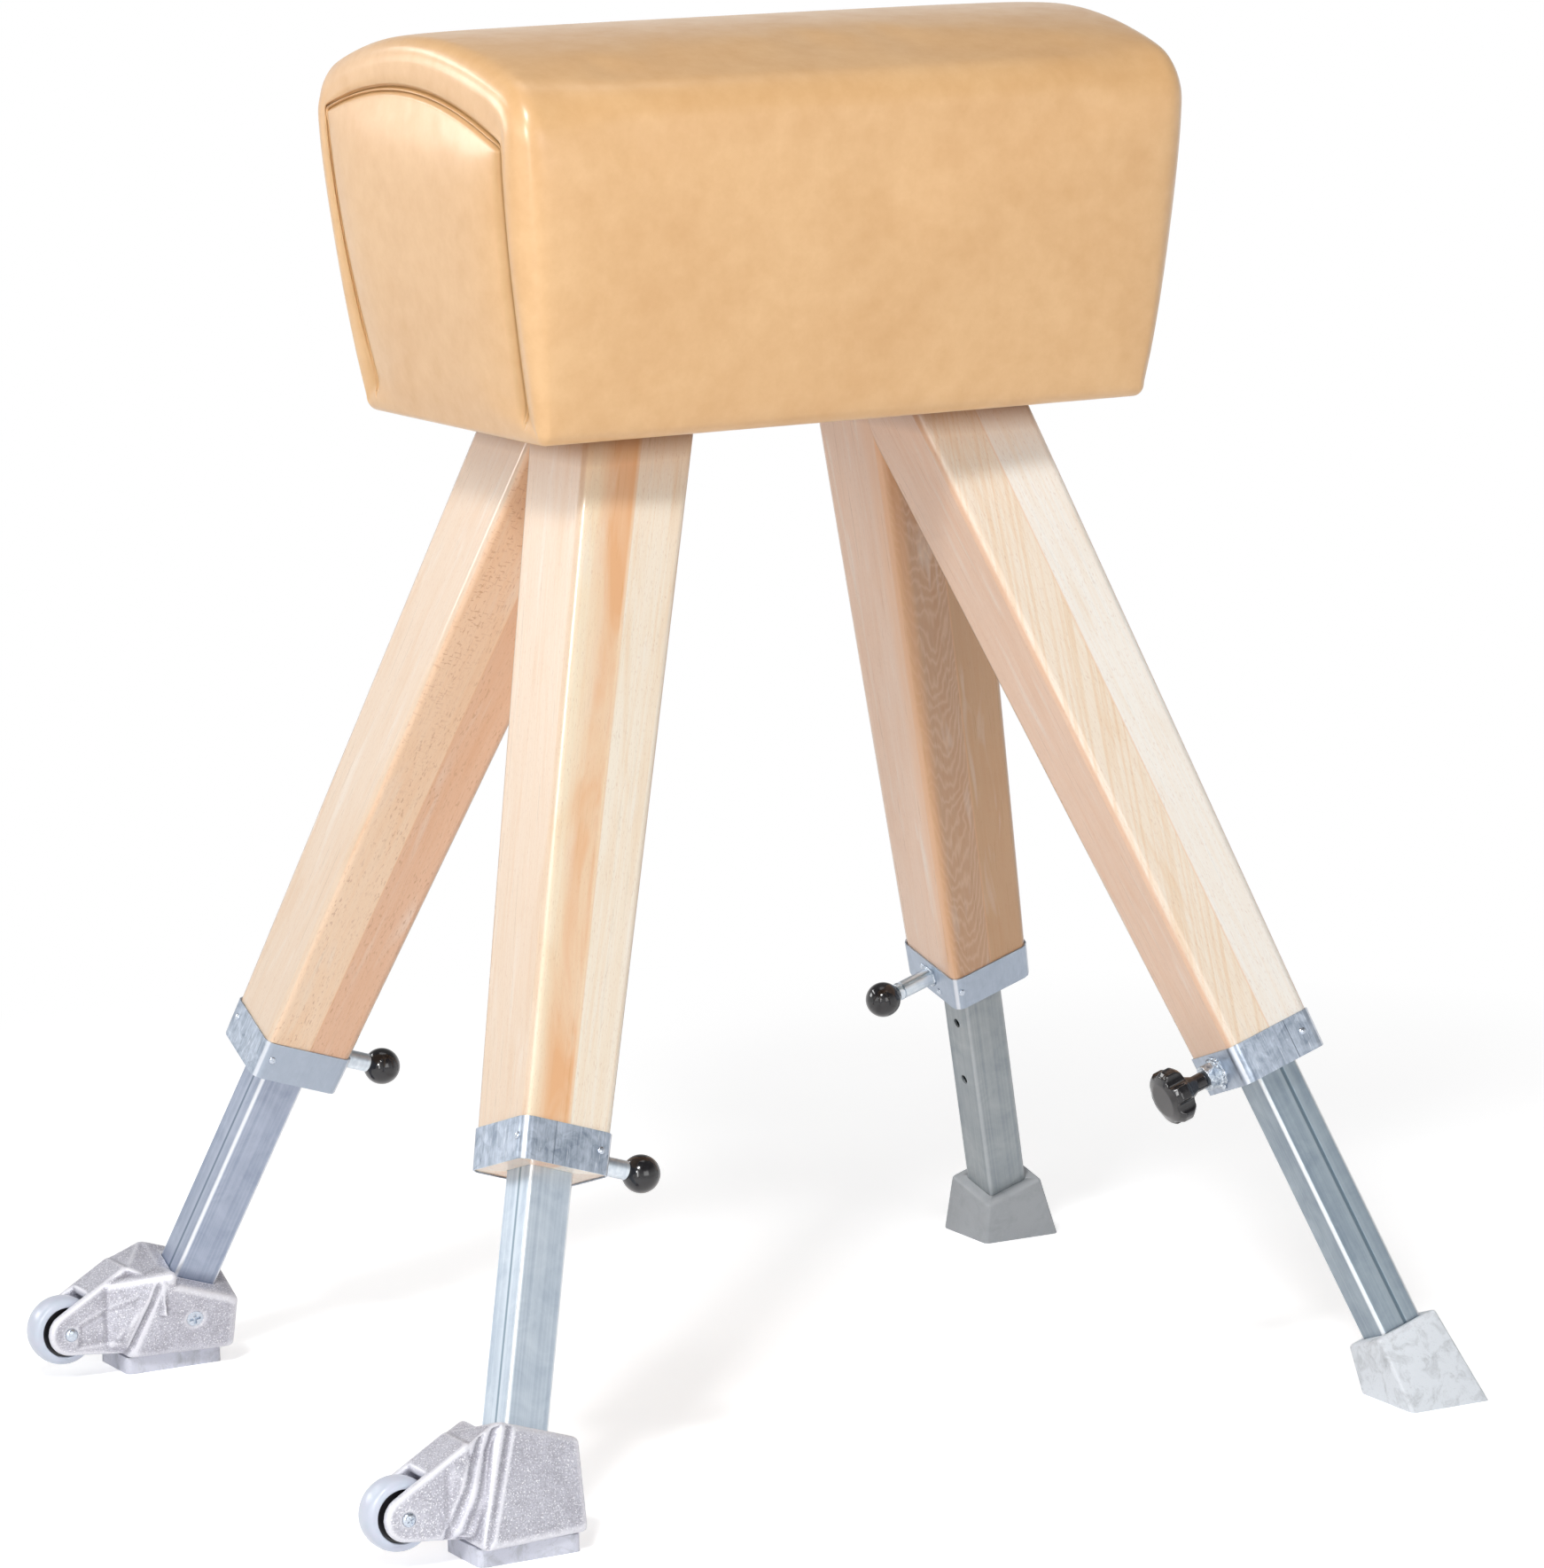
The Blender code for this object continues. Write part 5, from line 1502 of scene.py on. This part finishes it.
def mark_edges(mesh):
    """Point attribute "edge": above 0.5 on ridges and below it in grooves."""
    count = len(mesh.vertices)
    places, facings = read(mesh.vertices, "co"), read(mesh.vertex_normals, "vector")
    ends = read(mesh.edges, "vertices", 2, np.int64)
    both = np.concatenate([ends, ends[:, ::-1]])
    shares = 1.0 / np.maximum(1, np.bincount(both[:, 0], minlength=count))

    def around(values):
        return np.bincount(both[:, 0], values[both[:, 1]], minlength=count) * shares

    bend = sum((places[:, axis] - around(places[:, axis])) * facings[:, axis] for axis in range(3))
    for _ in range(3):
        bend = 0.5 * bend + 0.5 * around(bend)
    layer = mesh.attributes.new("edge", "FLOAT", "POINT")
    layer.data.foreach_set("value", np.clip(0.5 + bend / FULL_BEND, 0.0, 1.0))


def inside_quad(a, z, corners):
    """Distance inwards from the nearest side of a convex outline, in its own units."""
    nearest = 1e9
    for (a0, z0), (a1, z1) in zip(corners, corners[1:] + corners[:1]):
        length = math.hypot(a1 - a0, z1 - z0)
        nearest = min(nearest, ((a1 - a0) * (z - z0) - (z1 - z0) * (a - a0)) / length)
    return nearest


# How far off the wheel's middle the cheeks start
CHEEK_OFF = 0.0165
# Outlines in mm: in from the axle, up from the axle
CHEEK = [(3.0, -13.0), (45.0, -13.0), (58.0, 31.0), (5.0, 8.0)]
GROOVE = ((51.0, -15.0), (68.0, 36.0))


def cast_relief(a, z, outer_side):
    """Depth of the casting's panel, groove or flutes at a place on a cheek, in mm."""
    if not outer_side:
        depth = 1.0 * smooth_step(inside_quad(a, z, CHEEK), 0.3, 4.5)
        (a0, z0), (a1, z1) = GROOVE
        along = ((a - a0) * (a1 - a0) + (z - z0) * (z1 - z0)) / ((a1 - a0) ** 2 + (z1 - z0) ** 2)
        off = abs((a - a0) * (z1 - z0) - (z - z0) * (a1 - a0)) / math.hypot(a1 - a0, z1 - z0)
        ends = smooth_step(along, -0.12, 0.05) * smooth_step(1.12 - along, 0.0, 0.2)
        return depth + 2.2 * ends * (1 - smooth_step(off, 0.5, 3.4))
    lean = a - 0.42 * z
    across = smooth_step(lean, 30.0, 37.0) * (1 - smooth_step(lean, 64.0, 69.0))
    return 1.7 * across * (0.5 - 0.5 * math.cos(math.tau * (lean - 33.0) / 11.5))


def carve(mesh, side_x, side_y):
    """Sinks the panels, grooves and flutes into a casting's two cheeks."""
    places = read(mesh.vertices, "co")
    for place, normal in zip(places, read(mesh.vertex_normals, "vector")):
        off = place[1] - side_y * WHEEL[1]
        facing = math.copysign(normal[1], normal[1] * off)
        if abs(off) < CHEEK_OFF or facing < 0.5:
            continue
        a = (WHEEL[0] - side_x * (place[0] - CENTRE_X)) * 1000
        depth = cast_relief(a, (place[2] - WHEEL[2]) * 1000, off * side_y > 0) / 1000
        place[1] -= math.copysign(depth * smooth_step(facing, 0.5, 0.8), off)
    mesh.vertices.foreach_set("co", places.ravel())
    mesh.update()


class BUCK_OT_castors(Operator):
    """Make the cast castor housings"""

    bl_idname = "buck.castors"
    bl_label = "Castor housings"

    def execute(self, context):
        tones = settings("buck_metal")
        for leg in CASTOR_LEGS:
            name = f"casting_{leg}"
            shape = cad_copy(f"castor_housing_{leg}")
            web = mesh_from(hull(web_points(leg)), f"web_{leg}")
            shape.from_mesh(web)
            bpy.data.meshes.remove(web)
            item = rub(link(name, mesh_from(shape, name)), 11, tones.cast_voxel)
            carve(item.data, *LEGS[leg])
            rub(item, 2)
            mark_edges(item.data)
            item.data.shade_smooth()
            finish_piece(
                item, once("cast_aluminium", casting_finish), f"extension_{leg}",
                (f"castor_housing_{leg}",))
        return {"FINISHED"}


class BUCK_OT_pads(Operator):
    """Make the pads under the castor housings"""

    bl_idname = "buck.pads"
    bl_label = "Pads"

    def execute(self, context):
        for leg in CASTOR_LEGS:
            shape = cad_copy(f"castor_pad_{leg}")
            upright = [
                edge for edge in shape.edges
                if abs((edge.verts[0].co - edge.verts[1].co).normalized().z) > 0.8]
            bmesh.ops.bevel(
                shape, geom=upright, offset=0.008, segments=5, affect="EDGES", profile=0.5)
            item = link(f"floor_pad_{leg}", mesh_from(shape, f"floor_pad_{leg}"))
            soften(item, 0.0013, 3, 50.0)
            smooth(item)
            finish_piece(
                item, once("pad_rubber", pad_finish), f"extension_{leg}",
                (f"castor_pad_{leg}",))
        return {"FINISHED"}


class BUCK_OT_wheels(Operator):
    """Make the castor wheels: tyres and domed hubs"""

    bl_idname = "buck.wheels"
    bl_label = "Wheels"

    def execute(self, context):
        for leg in CASTOR_LEGS:
            place = across_matrix(leg)
            half, outer, inner, crown = 0.012, 0.0285, 0.0205, 0.0008
            side = [(inner, half - 0.0006), (inner + 0.0006, half)]
            for step in range(9):
                lean = math.pi / 2 * step / 8
                side.append((outer - crown - 0.0058 + 0.0058 * math.sin(lean),
                             half - 0.0062 + 0.0062 * math.cos(lean)))
            side.append((outer - 0.0002, half - 0.0085))
            side.append((outer, 0.0))
            profile = side + [(radius, -height) for radius, height in reversed(side[:-1])]
            turned_piece(
                f"tyre_{leg}", profile, place, once("tyre_grey", tyre_finish), f"wheel_{leg}",
                f"wheel_tyre_{leg}", segments=72)
            rim, bore = 0.0202, 0.0043
            side = [
                (bore, 0.0130), (0.0090, 0.0130), (0.0105, 0.0126), (0.0120, 0.0114),
                (0.0150, 0.0108), (0.0176, 0.0104), (0.0188, 0.0108), (rim - 0.0004, 0.0108),
                (rim, 0.0100)]
            profile = side + [(radius, -height) for radius, height in reversed(side)]
            turned_piece(
                f"hub_{leg}", profile, place, once("black_plastic", plastic_finish), f"wheel_{leg}",
                f"wheel_hub_{leg}", segments=64, angle=60.0)
        return {"FINISHED"}


def cross_cutter(radius, depth, width):
    """Cross-shaped recess, its open end at Z = 0."""
    shape = bmesh.new()
    for long_x, long_y in ((radius, width), (width, radius)):
        bmesh.ops.create_cube(
            shape, size=2.0,
            matrix=Matrix.Translation((0.0, 0.0, -depth / 2 + 0.0004)) @ Matrix.Diagonal(
                (long_x, long_y, depth / 2 + 0.0004, 1.0)))
    return shape


def screw_head(name, profile, place, recess, leg, node):
    """Turned piece with a cross recess cut into its outer end, which stands for a node."""
    item = link(name, mesh_from(lathe(profile, place, 40), name))
    top = max(height for _, height in profile)
    cutter_mesh = mesh_from(cross_cutter(*recess), f"{name}_cross")
    lifted = place @ Matrix.Translation((0.0, 0.0, top))
    cutter_mesh.transform(lifted @ Matrix.Rotation(0.5, 4, "Z"))
    cutter = link(f"{name}_cross", cutter_mesh)
    cut = item.modifiers.new("cross", "BOOLEAN")
    cut.operation = "DIFFERENCE"
    cut.solver = "EXACT"
    cut.use_self = True
    cut.object = cutter
    apply_all(item)
    bpy.data.objects.remove(cutter, do_unlink=True)
    smooth(item)
    steel = once("bolt_steel", steel_finish)
    finish_piece(item, steel, f"extension_{leg}", (node,))


class BUCK_OT_screws(Operator):
    """Make the axles and the screws of the castor housings"""

    bl_idname = "buck.screws"
    bl_label = "Axles and screws"

    def execute(self, context):
        for leg in CASTOR_LEGS:
            seat, head = 0.0218, 0.0055
            near = [
                (0.0, seat + 0.0026), (0.0034, seat + 0.0023), (head - 0.0005, seat + 0.0014),
                (head, seat + 0.0004), (head, seat), (0.004, seat)]
            turn = Matrix.Rotation(0.0 if LEGS[leg][1] > 0 else math.pi, 4, "X")
            screw_head(
                f"axle_pin_{leg}", near + [(radius, -height) for radius, height in reversed(near)],
                across_matrix(leg) @ turn, (0.0030, 0.0014, 0.0006), leg, f"axle_{leg}")
            top = 0.0353
            profile = [
                (0.0, top + 0.0002), (0.0045, top + 0.0001), (0.0068, top - 0.0002),
                (0.0071, top - 0.0006), (0.0030, top - 0.0044), (0.0030, 0.0165), (0.0, 0.0165)]
            screw_head(
                f"screw_{leg}", profile, screw_matrix(leg), (0.0046, 0.0022, 0.0011), leg,
                f"housing_screw_{leg}")
        return {"FINISHED"}


class BUCK_OT_feet(Operator):
    """Make the rubber feet"""

    bl_idname = "buck.feet"
    bl_label = "Rubber feet"

    def execute(self, context):
        for leg in FOOT_LEGS:
            dress(
                f"foot_{leg}", f"rubber_foot_{leg}", once(f"foot_{leg}", foot_finish),
                f"extension_{leg}", angle=45.0)
        return {"FINISHED"}


def softbox(name, place, target, size, power, along=(0.0, 0.0, 1.0), shine=False):
    """Lamp at a place, aimed at a target, its second side laid along a direction.

    A shine lamp makes highlights only.
    """
    lamp = bpy.data.lights.new(name, "AREA")
    lamp.shape = "RECTANGLE"
    lamp.size, lamp.size_y = size
    lamp.energy = power
    item = link(name, lamp)
    back = (Vector(place) - Vector(target)).normalized()
    upward = Vector(along)
    upward = (upward - back * upward.dot(back)).normalized()
    item.matrix_world = axes(upward.cross(back), upward, back, place)
    item.visible_diffuse = not shine


CAMERA_PLACE = (CENTRE_X - 2.5168, -4.6576, 1.4193)
CAMERA_TURN = (28.464, 9.952, -1.154)
LENS_PIXELS, PICTURE_WIDTH = 7576.8, 1742


def camera():
    """Stands where the photograph was taken from."""
    azimuth, pitch, roll = (math.radians(angle) for angle in CAMERA_TURN)
    level = math.cos(pitch)
    back = Vector((-math.sin(azimuth) * level, -math.cos(azimuth) * level, math.sin(pitch)))
    right = (-back).cross(Vector((0.0, 0.0, 1.0))).normalized()
    up = right.cross(-back)
    level_right = right * math.cos(roll) + up * math.sin(roll)
    level_up = up * math.cos(roll) - right * math.sin(roll)
    data = bpy.data.cameras.new("camera")
    data.sensor_fit = "HORIZONTAL"
    data.sensor_width = 36.0
    data.lens = LENS_PIXELS / PICTURE_WIDTH * data.sensor_width
    data.clip_end = 200.0
    item = link("camera", data)
    item.matrix_world = axes(level_right, level_up, back, CAMERA_PLACE)
    bpy.context.scene.camera = item


def world(light):
    """Even light from all sides, and a white background for the camera and reflections."""
    item = bpy.data.worlds.new("studio")
    bpy.context.scene.world = item
    item.use_nodes = True
    item.node_tree.nodes.clear()
    graph = Graph(item.node_tree)
    path = graph.node("ShaderNodeLightPath").outputs
    mirrored = graph.maths("MAXIMUM", path["Is Glossy Ray"], path["Is Transmission Ray"])
    height = graph.split(graph.node("ShaderNodeTexCoord").outputs["Generated"])[2]

    def room(low, high):
        """Background of one strength round the horizon and another overhead."""
        strength = graph.span(height, 0.08, 0.55, low, high)
        return graph.node("ShaderNodeBackground", Color=WHITE, Strength=strength).outputs[0]

    lit, seen = room(1.25 * light, light), room(1.0, 0.22)
    plain = graph.node("ShaderNodeBackground", Color=WHITE).outputs[0]
    mixed = graph.node("ShaderNodeMixShader", Fac=mirrored, i1=lit, i2=seen).outputs[0]
    front = graph.node("ShaderNodeMixShader", Fac=path["Is Camera Ray"], i1=mixed, i2=plain)
    graph.node("ShaderNodeOutputWorld", Surface=front.outputs[0])


def floor_finish(name):
    """Pale floor that fades to white away from the object."""
    tones = settings("buck_stage")
    finish = Finish(name)
    spread = finish.noise(finish.place(), 3.0, 2.0)
    finish.paint(finish.tint(tones.floor, spread, 0.4, 0.6, 0.15, WHITE[:3]))
    across, along, _ = finish.split(finish.place())
    far = finish.maths("SQRT", finish.weigh((across, across), (along, along)))
    path = finish.node("ShaderNodeLightPath").outputs
    seen = finish.maths("MAXIMUM", path["Is Camera Ray"], path["Is Glossy Ray"])
    fade = finish.times(finish.span(far, 0.75, 1.7), seen)
    finish.set(
        roughness=0.6, specular_ior_level=0.15, emission_color=WHITE,
        emission_strength=finish.times(seen, tones.floor_lift))
    white = finish.node("ShaderNodeEmission")
    mix = finish.node(
        "ShaderNodeMixShader", Fac=fade, i1=finish.shader.outputs[0], i2=white.outputs[0])
    output = next(node for node in finish.tree.nodes if node.type == "OUTPUT_MATERIAL")
    finish.link(mix.outputs[0], output.inputs["Surface"])
    return finish.done()


class BUCK_OT_stage(Operator):
    """Make the floor, the lamps and the camera"""

    bl_idname = "buck.stage"
    bl_label = "Stage"

    def execute(self, context):
        tones = settings("buck_stage")
        context.scene.view_settings.view_transform = "Standard"
        shape = bmesh.new()
        bmesh.ops.create_grid(shape, x_segments=1, y_segments=1, size=40.0)
        item = link("floor", mesh_from(shape, "floor"))
        item.data.materials.append(once("floor", floor_finish))
        world(tones.world_light)
        # Name, place, target, size, power
        softbox("key", (-2.1, -2.2, 3.35), (-0.3, -0.1, 1.0), (0.6, 0.6), tones.key_power)
        softbox("left", (-4.2, -0.8, 1.4), (0.0, 0.0, 0.7), (2.4, 2.2), tones.left_power)
        softbox("front", (0.3, -4.8, 1.3), (0.0, 0.0, 0.7), (2.4, 2.0), tones.front_power)
        softbox("top", (0.2, 0.3, 3.6), (0.0, 0.0, 1.0), (1.8, 1.4), tones.top_power)
        softbox("edge", (-2.9, -2.9, 0.9), (-0.2, 0.0, 0.9), (0.26, 1.7), tones.edge_power)
        softbox(
            "arc", (-1.66, 1.62, 2.14), (-0.27, 0.0, 1.05), (0.22, 2.1), tones.arc_power,
            along=(0.70, 0.70, -0.15))
        softbox(
            "shoulder", (-2.45, -1.80, 1.45), (-0.48, -0.15, 1.02), (0.5, 0.6),
            tones.shoulder_power, shine=True)
        softbox(
            "panel", (-2.25, 2.20, 1.42), (-0.48, -0.05, 0.98), (1.2, 0.8),
            tones.panel_power, shine=True)
        camera()
        return {"FINISHED"}


OPERATORS = (
    BUCK_OT_stage, BUCK_OT_cushion, BUCK_OT_core, BUCK_OT_legs, BUCK_OT_sleeves, BUCK_OT_rivets,
    BUCK_OT_tubes, BUCK_OT_plungers, BUCK_OT_clamp, BUCK_OT_castors, BUCK_OT_pads, BUCK_OT_wheels,
    BUCK_OT_screws, BUCK_OT_feet)


class BUCK_PT_panel(Panel):
    """Lists the pieces of the buck"""

    bl_label = "Vaulting buck"
    bl_idname = "BUCK_PT_panel"
    bl_space_type = "VIEW_3D"
    bl_region_type = "UI"
    bl_category = "Buck"

    def draw(self, context):
        for operator in OPERATORS:
            self.layout.operator(operator.bl_idname)
        for name, group in SETTINGS.items():
            box = self.layout.box()
            box.label(text=group.__doc__.rstrip("."))
            for prop in group.__annotations__:
                box.prop(getattr(context.scene, name), prop)


SETTINGS = {
    "buck_cushion": CushionSettings,
    "buck_wood": WoodSettings,
    "buck_metal": MetalSettings,
    "buck_plastic": PlasticSettings,
    "buck_stage": StageSettings,
}


def register():
    for name, group in SETTINGS.items():
        bpy.utils.register_class(group)
        setattr(bpy.types.Scene, name, PointerProperty(type=group))
    for operator in OPERATORS:
        bpy.utils.register_class(operator)
    bpy.utils.register_class(BUCK_PT_panel)


def unregister():
    bpy.utils.unregister_class(BUCK_PT_panel)
    for operator in reversed(OPERATORS):
        bpy.utils.unregister_class(operator)
    for name, group in reversed(SETTINGS.items()):
        delattr(bpy.types.Scene, name)
        bpy.utils.unregister_class(group)


def main():
    register()
    for operator in OPERATORS:
        family, action = operator.bl_idname.split(".")
        getattr(getattr(bpy.ops, family), action)()
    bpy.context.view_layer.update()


if __name__ == "__main__":
    main()
